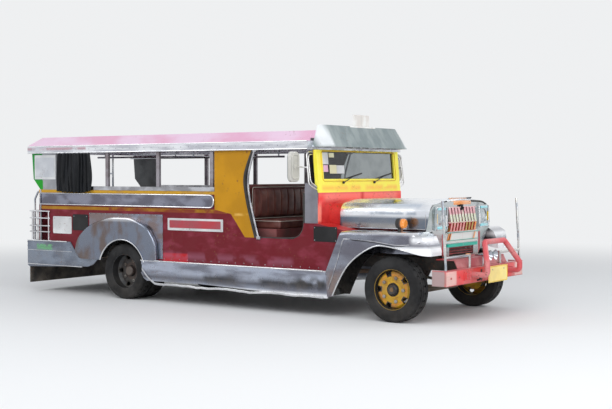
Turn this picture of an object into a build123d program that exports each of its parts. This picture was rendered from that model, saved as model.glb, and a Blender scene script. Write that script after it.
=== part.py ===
from build123d import *
import math
import os

# A long-bodied jeepney, in millimetres.
# X points forward, Y to the vehicle's left, Z up, and the floor is at Z = 0.
# The origin is under the middle of the whole length.
# Sizes called ..._x are measured forward from the nearer axle.

# Running gear
wheelbase = 4205.0
front_overhang = 910.0
rear_overhang = 1945.0
tyre_radius = 375.0
tyre_width = 215.0
tyre_shoulder = 34.0
rim_radius = 246.0
bead_radius = 236.0
rim_wall = 7.0
dual_spacing = 250.0
hub_radius = 62.0
lug_circle = 138.0
lug_radius = 13.0
lug_count = 5
hand_hole_circle = 190.0
hand_hole_radius = 29.0
spindle_radius = 28.0
fit_gap = 0.3
joint_gap = 6.0

# Steering
kingpin_radius = 14.0
kingpin_boss = 30.0
boss_height = 90.0
yoke_thickness = 20.0
steering_arm = 180.0
arm_width = 24.0
steering_wheel_radius = 205.0
steering_wheel_y = 480.0
steering_wheel_x = -1630.0
steering_wheel_z = 1400.0
column_rake = 35.0

# Chassis
rail_outer_y = 400.0
rail_width = 60.0
rail_bottom = 560.0
rail_top = 700.0
rail_front_x = 560.0
rail_rear_gap = 120.0
spring_thickness = 36.0
spring_half = 520.0
rear_spring_half = 640.0
spring_eye = 24.0

# Body
body_half_width = 1060.0
wheel_centre_y = body_half_width - 80.0
kingpin_y = wheel_centre_y - 140.0
wall = 40.0
sheet = 10.0
floor_thickness = 40.0
sill_bottom = 547.0
waist = 1470.0
sill_rail_top = 1522.0
eaves = 1985.0
gutter_top = 2090.0
gutter_out = 25.0
roof_shoulder_z = 2215.0
roof_shoulder_y = 950.0
roof_crown = 2252.0
roof_wall = 32.0
tail_x = -1682.0
low_tail_x = -1537.0
post_width = 55.0

# Places that follow from the sizes above
length = front_overhang + wheelbase + rear_overhang
front_axle_x = length / 2 - front_overhang
rear_axle_x = front_axle_x - wheelbase
axle_z = tyre_radius
floor_top = rail_top + floor_thickness
inner_wall_y = body_half_width - wall

axis_of = {"x": (1, 0, 0), "y": (0, 1, 0), "z": (0, 0, 1)}


def front(x):
    """A place measured forward from the front axle."""
    return front_axle_x + x


def rear(x):
    """A place measured forward from the rear axle."""
    return rear_axle_x + x


def place(point, along, at):
    """A flat point, on the plane that crosses one axis at the given place."""
    a, b = point
    return {"x": (at, a, b), "y": (a, at, b), "z": (a, b, at)}[along]


def prism(points, along, low, high):
    """A straight-sided outline pushed along one axis."""
    edge = Polyline(*[place(p, along, low) for p in points], close=True)
    return extrude(make_face(edge), amount=high - low, dir=axis_of[along])


def path_face(start, steps, along, low):
    """A face bounded by lines (x, z) and arcs (x, z, through x, through z)."""
    edges = []
    here = start
    for step in steps:
        there = step[:2]
        if len(step) == 4:
            middle = place(step[2:], along, low)
            edges.append(ThreePointArc(place(here, along, low), middle, place(there, along, low)))
        else:
            edges.append(Line(place(here, along, low), place(there, along, low)))
        here = there
    if math.dist(here, start) > 0.01:
        edges.append(Line(place(here, along, low), place(start, along, low)))
    return make_face(edges)


def path_prism(start, steps, along, low, high):
    """An outline of lines and arcs, pushed along one axis."""
    return extrude(path_face(start, steps, along, low), amount=high - low, dir=axis_of[along])


def block(x, y, z):
    """A box from its low and high place on each axis."""
    spans = [x, y, z]
    size = [high - low for low, high in spans]
    middle = [(high + low) / 2 for low, high in spans]
    return Pos(*middle) * Box(*size)


def rod(start, end, radius):
    """A round bar between two points."""
    way = Vector(*end) - Vector(*start)
    bar = Cylinder(radius, way.length, align=(Align.CENTER, Align.CENTER, Align.MIN))
    return Plane(origin=start, z_dir=way) * bar


def bent_rod(points, bend, radius):
    """A round bar along straight runs with tangent bends."""
    path = FilletPolyline(*points, radius=bend)
    return sweep(Plane(origin=path @ 0, z_dir=path % 0) * Circle(radius), path=path)


def turned(points, x, z, y=0.0, side=1):
    """A profile of (radius, distance outboard) points, turned about a crosswise axle."""
    profile = make_face(Polyline(*[(x + r, y + side * out, z) for r, out in points], close=True))
    return revolve(profile, axis=Axis((x, 0, z), (0, 1, 0)))


def flipped(shape):
    """The same piece on the other side of the vehicle."""
    return mirror(shape, about=Plane.XZ)


def solids_of(shapes):
    """Every solid in a nested list of shapes."""
    found = []
    for shape in shapes:
        if isinstance(shape, (list, tuple)):
            found += solids_of(shape)
        else:
            found += list(shape.solids())
    return found


os.makedirs("parts", exist_ok=True)


def write(node, *shapes):
    """One STEP file for one node."""
    export_step(Compound(solids_of(shapes)), "parts/" + node + ".step")


def both_sides(shape):
    """A piece and its mirror image."""
    return [shape, flipped(shape)]


# Wheels and tyres
def tyre(x, centre_y, side):
    """One tyre: a turned ring with rounded shoulders and a flat tread."""
    half = tyre_width / 2
    mid = (tyre_radius + bead_radius) / 2
    points = [
        (bead_radius, -half + 22),
        (rim_radius + 4, -half + 22),
        (rim_radius + 14, -half + 5),
        (mid, -half),
        (tyre_radius - tyre_shoulder, -half + 8),
        (tyre_radius - 6, -half + 30),
        (tyre_radius, -half + 48),
        (tyre_radius, half - 48),
        (tyre_radius - 6, half - 30),
        (tyre_radius - tyre_shoulder, half - 8),
        (mid, half),
        (rim_radius + 14, half - 5),
        (rim_radius + 4, half - 22),
        (bead_radius, half - 22),
    ]
    return turned(points, x, axle_z, centre_y * side, side)


def rim(x, centre_y, side, disc_out, dish):
    """A steel wheel: a barrel with two flanges, and a disc dished in or out."""
    half = tyre_width / 2
    wall_out = half - 22 + fit_gap
    outer = bead_radius - fit_gap
    inner = outer - rim_wall
    foot = disc_out - dish
    points = [
        (inner, -wall_out - 8),
        (rim_radius, -wall_out - 8),
        (rim_radius, -wall_out),
        (outer, -wall_out),
        (outer, wall_out),
        (rim_radius, wall_out),
        (rim_radius, wall_out + 8),
        (inner, wall_out + 8),
        (inner, foot + 6),
        (inner - 34, disc_out + 4),
        (lug_circle + 14, disc_out + 6),
        (hub_radius, disc_out + 4),
        (hub_radius, disc_out - 8),
        (lug_circle + 14, disc_out - 8),
        (inner - 40, disc_out - 9),
        (inner, foot - 8),
    ]
    wheel = turned(points, x, axle_z, centre_y * side, side)
    for k in range(lug_count):
        angle = math.radians(360 / lug_count * (k + 0.5))
        hx = x + hand_hole_circle * math.cos(angle)
        hz = axle_z + hand_hole_circle * math.sin(angle)
        low = centre_y * side - (half + 60)
        wheel -= rod((hx, low, hz), (hx, low + 2 * (half + 60), hz), hand_hole_radius)
    return wheel


def lugs(x, face_y, side):
    """The wheel nuts, standing on the disc's outer face."""
    nuts = []
    for k in range(lug_count):
        angle = math.radians(360 / lug_count * k)
        nx = x + lug_circle * math.cos(angle)
        nz = axle_z + lug_circle * math.sin(angle)
        spot = Plane(origin=(nx, face_y, nz), z_dir=(0, side, 0))
        hexagon = RegularPolygon(lug_radius, 6)
        nuts.append(extrude(spot * hexagon, amount=18))
    return nuts


disc_face = 30.0
front_disc_out = 62.0
rear_disc_out = -52.0
drum_radius = 160.0


def front_wheel(name, side):
    """A steered wheel with its drum and hub, which turn on the knuckle's spindle."""
    x = front(0)
    y = wheel_centre_y
    write("tyre_" + name, tyre(x, y, side))
    disc = rim(x, y, side, front_disc_out, disc_face)
    inboard = -tyre_width / 2 + 60
    hub = turned(
        [
            (spindle_radius + fit_gap, inboard),
            (drum_radius, inboard),
            (drum_radius, inboard + 46),
            (hub_radius, inboard + 60),
            (hub_radius, front_disc_out + 22),
            (hub_radius - 14, front_disc_out + 38),
            (0, front_disc_out + 38),
            (0, front_disc_out + 20),
            (spindle_radius + fit_gap, front_disc_out + 20),
        ],
        x, axle_z, y * side, side,
    )
    wheel = disc + hub
    for nut in lugs(x, (y + front_disc_out + 5) * side, side):
        wheel += nut
    write("wheel_" + name, wheel)


def rear_wheel(name, side):
    """Twin rear wheels on one hub, the outer one with its disc set deep inside."""
    x = rear(0)
    outer_y = wheel_centre_y
    inner_y = outer_y - dual_spacing
    write("tyres_" + name, tyre(x, outer_y, side), tyre(x, inner_y, side))
    wheel = rim(x, outer_y, side, rear_disc_out, -disc_face)
    wheel += rim(x, inner_y, side, -rear_disc_out - 40, disc_face)
    middle = outer_y - dual_spacing / 2
    wheel += turned(
        [
            (rear_tube_radius + fit_gap, -dual_spacing / 2 - 20),
            (drum_radius, -dual_spacing / 2 - 20),
            (drum_radius, 10),
            (lug_circle + 24, 40),
            (lug_circle + 24, dual_spacing / 2 + rear_disc_out - 8),
            (hub_radius + 4, dual_spacing / 2 + rear_disc_out - 8),
            (hub_radius + 4, dual_spacing / 2 + rear_disc_out + 50),
            (hub_radius - 10, dual_spacing / 2 + rear_disc_out + 62),
            (0, dual_spacing / 2 + rear_disc_out + 62),
            (0, dual_spacing / 2),
            (rear_tube_radius + fit_gap, dual_spacing / 2),
        ],
        x, axle_z, middle * side, side,
    )
    for nut in lugs(x, (outer_y + rear_disc_out + 5) * side, side):
        wheel += nut
    write("wheels_" + name, wheel)


rear_tube_radius = 45.0
for name, side in (("right", -1), ("left", 1)):
    front_wheel("front_" + name, side)
    rear_wheel("rear_" + name, side)


# Front axle, knuckles and steering linkage
def knuckle(side):
    """A yoke round the axle's end, with its kingpin, spindle and steering arm."""
    y = kingpin_y * side
    x = front(0)
    top = axle_z + boss_height / 2 + joint_gap / 3
    low = axle_z - boss_height / 2 - joint_gap / 3
    web = kingpin_boss + joint_gap
    near, far = sorted((y - side * 32, y + side * (web + 16)))
    piece = block((x - 32, x + 32), (near, far), (top, top + yoke_thickness))
    piece += block((x - 32, x + 32), (near, far), (low - yoke_thickness, low))
    near, far = sorted((y + side * web, y + side * (web + 16)))
    piece += block((x - 32, x + 32), (near, far), (low, top))
    piece += rod((x, y, low), (x, y, top), kingpin_radius)
    inboard = wheel_centre_y - tyre_width / 2 + 60 - joint_gap
    piece += rod((x, y + side * (web + 16), axle_z), (x, side * inboard, axle_z), 44)
    end = wheel_centre_y + front_disc_out + 14
    piece += rod((x, side * inboard, axle_z), (x, side * end, axle_z), spindle_radius)
    arm_low = low - yoke_thickness
    arm_x = (x - steering_arm, x - 32)
    piece += block(arm_x, (y - arm_width / 2, y + arm_width / 2), (arm_low, arm_low + 16))
    piece += rod((x - steering_arm, y, arm_low), (x - steering_arm, y, arm_low + 16), arm_width / 2 + 4)
    return piece


for name, side in (("right", -1), ("left", 1)):
    write("knuckle_" + name, knuckle(side))

arm_bottom = axle_z - boss_height / 2 - joint_gap / 3 - yoke_thickness
tie_gap = fit_gap
tie_rod_radius = 13.0
tie_rod_z = arm_bottom - tie_gap - tie_rod_radius - 5
tie_x = front(-steering_arm)
tie = rod((tie_x, -kingpin_y, tie_rod_z), (tie_x, kingpin_y, tie_rod_z), tie_rod_radius)
for side in (-1, 1):
    end_low = (tie_x, kingpin_y * side, tie_rod_z - 16)
    end_top = (tie_x, kingpin_y * side, arm_bottom - tie_gap)
    tie += rod(end_low, end_top, 18)
write("tie_rod", tie)

spring_y = rail_outer_y - rail_width / 2
beam_low = 285.0
beam_seat = 345.0


def front_axle():
    """A dropped beam with a kingpin boss at each end."""
    x = front(0)
    end_y = kingpin_y - kingpin_boss + 6
    drop_y = spring_y + 90
    points = [
        (-end_y, axle_z - 26), (-end_y, axle_z + 26), (-drop_y - 110, axle_z + 26),
        (-drop_y, beam_seat), (drop_y, beam_seat), (drop_y + 110, axle_z + 26),
        (end_y, axle_z + 26), (end_y, axle_z - 26), (drop_y + 110, axle_z - 34),
        (drop_y, beam_low), (-drop_y, beam_low), (-drop_y - 110, axle_z - 34),
    ]
    beam = prism(points, "x", x - 30, x + 30)
    for side in (-1, 1):
        y = kingpin_y * side
        low = (x, y, axle_z - boss_height / 2)
        top = (x, y, axle_z + boss_height / 2)
        beam += rod(low, top, kingpin_boss)
        beam -= rod(low, top, kingpin_radius + fit_gap)
    return beam


write("front_axle_beam", front_axle())


def rear_axle():
    """A tube axle with the round housing of its gears at the middle."""
    x = rear(0)
    reach = wheel_centre_y - dual_spacing / 2 + dual_spacing / 2 - 8
    bulge = turned(
        [(0, -150), (60, -145), (130, -80), (160, -30), (160, 30), (130, 80), (60, 145), (0, 150)],
        x, axle_z,
    )
    housing = bulge + rod((x, -reach, axle_z), (x, reach, axle_z), rear_tube_radius)
    housing += rod((x + 120, 0, axle_z), (x + 230, 0, axle_z), 55)
    for y in (-spring_y, spring_y):
        seat = (axle_z + 10, axle_z + rear_tube_radius + 5)
        housing += block((x - 60, x + 60), (y - 28, y + 28), seat)
    return housing




def spring(x, y, half, seat_z, leaves):
    """A stack of bowed leaves, each shorter than the one above it."""
    rise = 60.0
    thickness = spring_thickness / leaves
    stack = None
    for k in range(leaves):
        span = half * (1 - 0.18 * (leaves - 1 - k))
        z = seat_z + thickness * k
        lift = rise * (span / half) ** 2
        steps = [
            (x + span, z + lift, x, z),
            (x + span, z + lift + thickness),
            (x - span, z + lift + thickness, x, z + thickness),
        ]
        leaf = path_prism((x - span, z + lift), steps, "y", y - 27, y + 27)
        stack = leaf if stack is None else stack + leaf
    for end in (x - half, x + half):
        eye_z = seat_z + rise + spring_thickness - thickness / 2
        stack += rod((end, y - 27, eye_z), (end, y + 27, eye_z), spring_eye)
    return stack


rear_spring_seat = axle_z + rear_tube_radius + 5
front_springs = [spring(front(0), y, spring_half, beam_seat, 4) for y in (-spring_y, spring_y)]
rear_springs = [spring(rear(0), y, rear_spring_half, rear_spring_seat, 4) for y in (-spring_y, spring_y)]


# Chassis frame, engine and what hangs below
rail_rear_x = -length / 2 + rail_rear_gap
rail_inner_y = rail_outer_y - rail_width
cross_members = [front(-1400), front(-1950), front(-2500), rear(700), rear(-700), rear(-1500)]


def chassis_frame():
    """Two box rails, cross members and the brackets that hold the springs."""
    frame = None
    for side in (-1, 1):
        span = sorted((side * rail_inner_y, side * rail_outer_y))
        rail = block((rail_rear_x, front(rail_front_x)), span, (rail_bottom, rail_top))
        frame = rail if frame is None else frame + rail
        hangers = [
            (front(0), spring_half, beam_seat),
            (rear(0), rear_spring_half, rear_spring_seat),
        ]
        for x, half, seat in hangers:
            eye_z = seat + 60 + spring_thickness * 0.875
            for end in (x - half, x + half):
                for edge in (side * rail_inner_y, side * rail_outer_y):
                    cheek = sorted((edge, edge + math.copysign(8, edge - side * spring_y)))
                    frame += block((end - 30, end + 30), cheek, (eye_z - 30, rail_bottom + 40))
                frame += rod(
                    (end, side * rail_inner_y, eye_z), (end, side * rail_outer_y, eye_z), spring_pin
                )
    for x in cross_members:
        frame += block((x - 30, x + 30), (-rail_inner_y, rail_inner_y), (rail_bottom + 20, rail_top - 20))
    nose = front(rail_front_x)
    frame += block((nose - 50, nose), (-rail_inner_y, rail_inner_y), (rail_bottom + 20, rail_top - 20))
    return frame


spring_pin = 9.0
chassis = chassis_frame()
pins = []
for x, half, seat in ((front(0), spring_half, beam_seat), (rear(0), rear_spring_half, rear_spring_seat)):
    eye_z = seat + 60 + spring_thickness * 0.875
    for end in (x - half, x + half):
        pins.append(rod((end, -rail_outer_y, eye_z), (end, rail_outer_y, eye_z), spring_pin + fit_gap))
write("chassis_frame", chassis)


def bored(shape, bores):
    """A shape with each of the given rods taken out of it."""
    for bore in bores:
        shape = shape - bore
    return shape


write("leaf_springs", [bored(s, pins) for s in front_springs + rear_springs])

engine_x = (front(-700), front(60))
engine_half_y = 270.0
engine_z = (570.0, 960.0)
write("engine_block", block(engine_x, (-engine_half_y, engine_half_y), engine_z))

radiator_x = front(170)
radiator_half_y = 300.0
radiator_z = (rail_top, 985.0)


def radiator():
    """A core between two tanks, with its filler neck."""
    core = block((radiator_x, radiator_x + 50), (-radiator_half_y, radiator_half_y), radiator_z)
    for low, high in ((radiator_z[0], radiator_z[0] + 50), (radiator_z[1] - 60, radiator_z[1])):
        core += block((radiator_x - 14, radiator_x + 64), (-radiator_half_y, radiator_half_y), (low, high))
    top = radiator_z[1]
    core += rod((radiator_x + 25, 0, top), (radiator_x + 25, 0, top + 22), 26)
    reach = rail_outer_y
    core += block((radiator_x - 14, radiator_x + 64), (-reach, reach), (rail_top, rail_top + 20))
    return core


write("radiator", radiator())

gearbox_x = (front(-1300), front(-700))
shaft_z = 535.0
shaft_radius = 35.0


def driveshaft():
    """The gearbox behind the engine and the long shaft back to the rear axle."""
    box = prism(
        [(gearbox_x[1], 570), (gearbox_x[1], 690), (gearbox_x[0], 620), (gearbox_x[0], 490)],
        "y", -120, 120,
    )
    tail = rear(230)
    shaft = rod((gearbox_x[0] + 5, 0, shaft_z), (tail + 40, 0, axle_z), shaft_radius)
    return box + shaft + rod((tail, 0, axle_z), (tail + 60, 0, axle_z), 50)



write("rear_axle", rear_axle() + driveshaft())

tank_x = (front(-3150), front(-2450))
tank_y = (rail_outer_y, rail_outer_y + 360)
tank_z = (400.0, 660.0)
tank = block(tank_x, tank_y, tank_z)
tank = fillet(tank.edges().filter_by(Axis.X), 50)
write("fuel_tank", tank)

pipe_y = -(rail_outer_y + 70)
pipe_z = 640.0
pipe_low = 500.0


def exhaust():
    """A pipe from the engine to a silencer beside the right rail, and on to its tail."""
    down = engine_z[0]
    route = [
        (front(-600), -200, down), (front(-600), -200, pipe_low),
        (front(-950), pipe_y, pipe_low), (front(-2700), pipe_y, pipe_low),
    ]
    pipe = bent_rod(route, 40, 26)
    pipe += rod((front(-2690), pipe_y, pipe_low), (front(-3150), pipe_y, pipe_low), 70)
    tail = [
        (front(-3140), pipe_y, pipe_low), (rear(480), pipe_y, pipe_low), (rear(330), pipe_y - 15, pipe_z),
        (rear(-300), pipe_y - 15, pipe_z), (rear(-500), pipe_y, pipe_low), (rear(-1500), pipe_y, pipe_low),
    ]
    pipe += bent_rod(tail, 60, 24)
    for x in (front(-2550), rear(-1450)):
        pipe += block((x - 15, x + 15), (pipe_y - 10, -rail_outer_y), (rail_bottom + 20, rail_bottom + 50))
        pipe += block((x - 15, x + 15), (pipe_y - 10, pipe_y + 10), (pipe_low, rail_bottom + 50))
    return pipe


write("exhaust", exhaust())


# Floor and side walls
firewall_x = front(-1080)
floor_rear_x = rear(tail_x)
wheelhouse_inner_y = 600.0
wheelhouse_half = 420.0
wheelhouse_top = 830.0


def floor():
    """The deck on the frame, raised in a box over each pair of rear wheels."""
    deck = block((floor_rear_x, firewall_x), (-inner_wall_y, inner_wall_y), (rail_top, floor_top))
    for side in (-1, 1):
        x = (rear(-wheelhouse_half), rear(wheelhouse_half))
        y = sorted((side * wheelhouse_inner_y, side * inner_wall_y))
        deck += block(x, y, (rail_top, wheelhouse_top))
        y = sorted((side * (wheelhouse_inner_y + sheet), side * inner_wall_y))
        x = (x[0] + sheet, x[1] - sheet)
        deck -= block(x, y, (rail_top - 5, wheelhouse_top - sheet))
    return deck


write("floor", floor())

arch_radius = 432.0
door_outline = [
    (-2003, eaves + 10), (-2107, 1759), (-2137, 1608), (-2079, 1308), (-1957, 903),
    (-1400, 903), (-1300, 945), (-1249, 1030), (-1240, 1103), (-1240, eaves + 10),
]
leg_top = (-672.0, 1024.0)
leg_low = (-879.0, 547.0)
pillar_top_rear_x = -2656.0 + post_width / 2
cowl_top = 1100.0
pillar_outline = [
    (pillar_top_rear_x, eaves), (-2003, eaves), (-2107, 1759), (-2137, 1608), (-2079, 1308),
    (-1957, 903), (-2137, 903), (-2361, 1189), (pillar_top_rear_x, 1240),
]


def at_front(points):
    """Outline points measured from the front axle, moved to their place."""
    return [(front(x), z) for x, z in points]


def side_wall():
    """The right wall: a flat skin from the tail to the cowl, with arch and doorway cut."""
    outline = [
        (rear(low_tail_x), sill_bottom), (front(leg_low[0]), sill_bottom),
        (front(leg_top[0]), leg_top[1]), (front(-1075), cowl_top), (front(-1240), cowl_top),
        (front(-1500), waist), (rear(tail_x), waist),
        (rear(tail_x), 1181), (rear(low_tail_x), 1181),
    ]
    skin = prism(outline, "y", -body_half_width, -inner_wall_y)
    cut = (-body_half_width - 5, -inner_wall_y + 5)
    skin -= prism(at_front(door_outline), "y", *cut)
    skin -= prism(at_front(pillar_outline), "y", *cut)
    skin -= rod((rear(0), cut[0], axle_z), (rear(0), cut[1], axle_z), arch_radius)
    return skin


write("side_walls", both_sides(side_wall()))
write("door_pillars", both_sides(prism(at_front(pillar_outline), "y", -body_half_width, -inner_wall_y)))

rear_window_x = rear(-1347)
corner_x = rear(-1854)


def window_sill():
    """The bright rail along the foot of the windows."""
    x = (rear_window_x, front(pillar_top_rear_x))
    return block(x, (-body_half_width - 6, -inner_wall_y + 6), (waist, sill_rail_top))




def window_posts():
    """Three slim posts between each side's windows."""
    y = (-body_half_width + 2, -inner_wall_y - 2)
    half = post_width / 2
    places = (rear(-342), rear(599), front(-2656) - half)
    return [block((x - half, x + half), y, (sill_rail_top, eaves)) for x in places]


window_frame = window_sill()
for post in window_posts():
    window_frame += post
write("window_frames", both_sides(window_frame))


def corner_panel():
    """The closed panel at the rear corner of the wall, behind the last window."""
    outline = [
        (rear(tail_x), waist), (rear_window_x, waist), (rear_window_x, eaves),
        (corner_x, eaves), (corner_x + 30, waist + 150),
    ]
    return prism(outline, "y", -body_half_width, -inner_wall_y)


write("rear_corner_panels", both_sides(corner_panel()))

# Rear face, with its entrance at the middle
entrance_half = 380.0
rear_panel_z = (rail_top, waist)


def rear_panel():
    """One half of the rear face, from the wall to the entrance, with a lamp hole."""
    x = rear(tail_x)
    y = (-body_half_width + 2, -entrance_half)
    panel = block((x - 30, x), y, (rear_panel_z[0], rear_panel_z[1]))
    return panel


write("rear_panels", both_sides(rear_panel()))


def entrance_rail():
    """The upright post and grab bar at one side of the entrance."""
    x = rear(tail_x) - 15
    y = -entrance_half - 25
    post = rod((x, y, waist), (x, y, eaves), 16)
    loop = [(x, y - 10, 1700), (x - 90, y - 10, 1700), (x - 90, y - 10, 1000), (x - 15, y - 10, 1000)]
    return post + bent_rod(loop, 30, 12)



# Roof, gutter band and ceiling
roof_front_x = front(-1165)
gutter_rear_x = rear(-1923)
band_half_y = body_half_width + gutter_out


def roof_section(inset):
    """Half of the roof's cross section, drawn to its full width, set in by a wall."""
    half = band_half_y - inset
    shoulder = roof_shoulder_y - inset * 0.6
    base = gutter_top
    return [
        (-half, base), (half, base), (shoulder, roof_shoulder_z - inset),
        (0, roof_crown - inset), (-shoulder, roof_shoulder_z - inset),
    ]


def roof():
    """A shallow hipped roof in sheet, open below, with its tail end sloped."""
    skin = prism(roof_section(0), "x", gutter_rear_x, roof_front_x)
    tail = [
        (gutter_rear_x - 5, gutter_top), (gutter_rear_x, gutter_top),
        (rear(-1688), roof_crown + 5), (gutter_rear_x - 5, roof_crown + 5),
    ]
    skin -= prism(tail, "y", -band_half_y - 5, band_half_y + 5)
    hollow = prism(roof_section(roof_wall), "x", gutter_rear_x + roof_wall, roof_front_x - roof_wall)
    tail = [(x + roof_wall * 1.2, z) for x, z in tail]
    hollow -= prism(tail, "y", -band_half_y - 5, band_half_y + 5)
    return skin - hollow


write("roof", roof())


def roof_band():
    """The bright gutter band under the roof's edge, all round, with its cross bows."""
    x = (gutter_rear_x, roof_front_x)
    band = block(x, (-band_half_y, band_half_y), (eaves, gutter_top))
    inner = (x[0] + wall, x[1] - wall)
    y = inner_wall_y - 12
    band -= block(inner, (-y, y), (eaves - 5, gutter_top + 5))
    bows = [rear(-1100), rear(-342), rear(599), front(-2656), front(-2050)]
    for bow in bows:
        band += block((bow - 20, bow + 20), (-y, y), (gutter_top - 30, gutter_top))
    return band


write("roof_band", roof_band())

ceiling_rail_y = 340.0


def ceiling_rail():
    """A grab rail under the roof bows, hung on short stems."""
    x = (rear(-1250), front(-2560))
    z = 1930.0
    y = ceiling_rail_y
    rail = rod((x[0], y, z), (x[1], y, z), 14)
    for stem in (rear(-1100), rear(-342), rear(599), front(-2656)):
        rail += rod((stem, y, z), (stem, y, gutter_top - 30), 10)
    return rail




# Rear corner cages, quarter panels and step
quarter_top = 738.0
quarter_out = 14.0
cage_tops = (1160.0, 1060.0, 950.0, 865.0)
rear_end_x = -length / 2


def quarter_panel():
    """The ribbed panel behind the rear wheel, wrapped round to the back."""
    outline = [
        (rear_end_x, quarter_top), (rear(-1054), quarter_top), (rear(-880), 520),
        (rear(-523), 509), (rear(-600), 440), (rear(-700), 406), (rear(-1911), 356),
        (rear_end_x, 380),
    ]
    outer = -body_half_width - quarter_out
    panel = prism(outline, "y", outer, -body_half_width)
    for z in (600, 660, 715):
        y = (outer - 6, outer)
        panel += block((rear_end_x, rear(-1054)), y, (z - 7, z + 7))
    back = (rear_end_x, rear_end_x + quarter_out)
    panel += block(back, (outer, -entrance_half - 60), (400, quarter_top))
    deck = (rear_end_x, rear(tail_x) - 30)
    panel += block(deck, (-body_half_width, -entrance_half - 60), (quarter_top - 12, quarter_top))
    return panel - fender_form




def rear_step():
    """The tread plate at the entrance, with the board that hangs under the tail."""
    tread = block(
        (rear_end_x, rear(tail_x)),
        (-entrance_half - 59, entrance_half + 59),
        (520, rail_bottom),
    )
    back = (rear_end_x + 30, rear_end_x + 50)
    board = block(back, (-body_half_width + 1, body_half_width - 1), (124, 400))
    board += block(back, (-entrance_half - 59, entrance_half + 59), (400, 520))
    return tread + board


write("rear_step", rear_step())


def corner_cage():
    """Four bright rails round the rear corner, on two uprights."""
    side_y = -body_half_width - 10
    back_x = rear_end_x + 14
    turn_x = back_x
    cage = None
    for z in cage_tops:
        loop = [(rear(-1470), side_y, z), (turn_x, side_y, z), (turn_x, -entrance_half - 90, z)]
        rail = bent_rod(loop, 60, 9)
        cage = rail if cage is None else cage + rail
    for x, y in ((rear(-1500), side_y), (turn_x, -entrance_half - 100), (turn_x + 90, side_y)):
        cage += rod((x, y, quarter_top), (x, y, cage_tops[0]), 10)
    return cage


write("corner_cages", both_sides(corner_cage()))


def grab_tube():
    """The curved grab tube behind the rear corner of the wall."""
    y = -body_half_width + 30
    x = rear(tail_x)
    loop = [(x - 30, y, 1440), (x - 80, y, 1440), (x - 150, y, 1330), (x - 150, y, quarter_top)]
    return bent_rod(loop, 45, 14)


grab_pieces = [entrance_rail(), ceiling_rail(), grab_tube()]
write("grab_rails", [both_sides(piece) for piece in grab_pieces])

# Rear fenders
fender_out = 70.0
fender_round = 35.0
running_top = 547.0


# Corners of the rear fender's side outline: forward of the rear axle, height, corner radius
fender_corners = [
    (-826, 518, 0), (-930, 610, 70), (-880, 800, 300), (-660, 985, 600), (-250, 1113, 900),
    (150, 1113, 600), (450, 1000, 350), (600, 800, 250), (617, 518, 0),
]


def set_in(points, depth):
    """A closed outline's corners, moved inwards so that each side moves by the depth."""
    moved = []
    for k, (x, z) in enumerate(points):
        x0, z0 = points[k - 1]
        x2, z2 = points[(k + 1) % len(points)]
        before = math.atan2(z - z0, x - x0)
        after = math.atan2(z2 - z, x2 - x)
        a = (math.sin(before), -math.cos(before))
        b = (math.sin(after), -math.cos(after))
        share = depth / (1 + a[0] * b[0] + a[1] * b[1])
        moved.append((x + share * (a[0] + b[0]), z + share * (a[1] + b[1])))
    return moved


def fender_solid(inset, depth, edge_round):
    """The rear fender's filled form, standing out from the wall, with its rim rounded."""
    corners = set_in([(rear(x), z) for x, z, r in fender_corners], inset)
    points = [place(p, "y", -body_half_width) for p in corners]
    curve = FilletPolyline(*points, radius=[r - inset for x, z, r in fender_corners[1:-1]])
    face = make_face(curve.edges() + [Line(points[-1], points[0])])
    form = extrude(face, amount=depth, dir=(0, -1, 0))
    rim_edges = [e for e in edges_on(form, "Y", -body_half_width - depth) if (e @ 0.5).Z > 530]
    return fillet(rim_edges, edge_round)


def rear_fender():
    """A rounded steel blister over the rear wheel, open at the arch."""
    shell = fender_form - fender_solid(sheet, fender_out - sheet, fender_round - sheet)
    low = -body_half_width - fender_out - 5
    shell -= rod((rear(0), low, axle_z), (rear(0), -body_half_width + 5, axle_z), arch_radius)
    lip = turned(
        [
            (arch_radius, fender_out - 10), (arch_radius + 16, fender_out - 10),
            (arch_radius + 16, fender_out + 6), (arch_radius, fender_out + 6),
        ],
        rear(0), axle_z, -body_half_width, -1,
    )
    keep = block((rear(-500), rear(500)), (low - 10, -body_half_width), (518, 900))
    shell += lip & keep
    ledge = block((rear(356) - 1, rear(700)), (low - 10, -body_half_width + 1), (500, running_top))
    return shell - ledge


def edges_on(shape, axis, at):
    """The edges that lie wholly in the plane across one axis."""
    found = []
    for edge in shape.edges():
        places = [getattr(edge @ share, axis) for share in (0, 0.5, 1)]
        if all(abs(value - at) < 0.01 for value in places):
            found.append(edge)
    return found


fender_form = fender_solid(0, fender_out, fender_round)
write("rear_fenders", both_sides(rear_fender()))
write("quarter_panels", both_sides(quarter_panel()))


# Panels along the sides
def wheel_plate():
    """The bare steel plate let into the wall round the rear fender."""
    outline = [
        (rear(-681), 1155), (rear(692), 1155), (rear(692), 571), (rear(500), 571),
        (rear(500), 830), (rear(-681), 830),
    ]
    return prism(outline, "y", -body_half_width - 4, -body_half_width) - fender_form



strip_low = 491.0
board_out = 60.0


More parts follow.
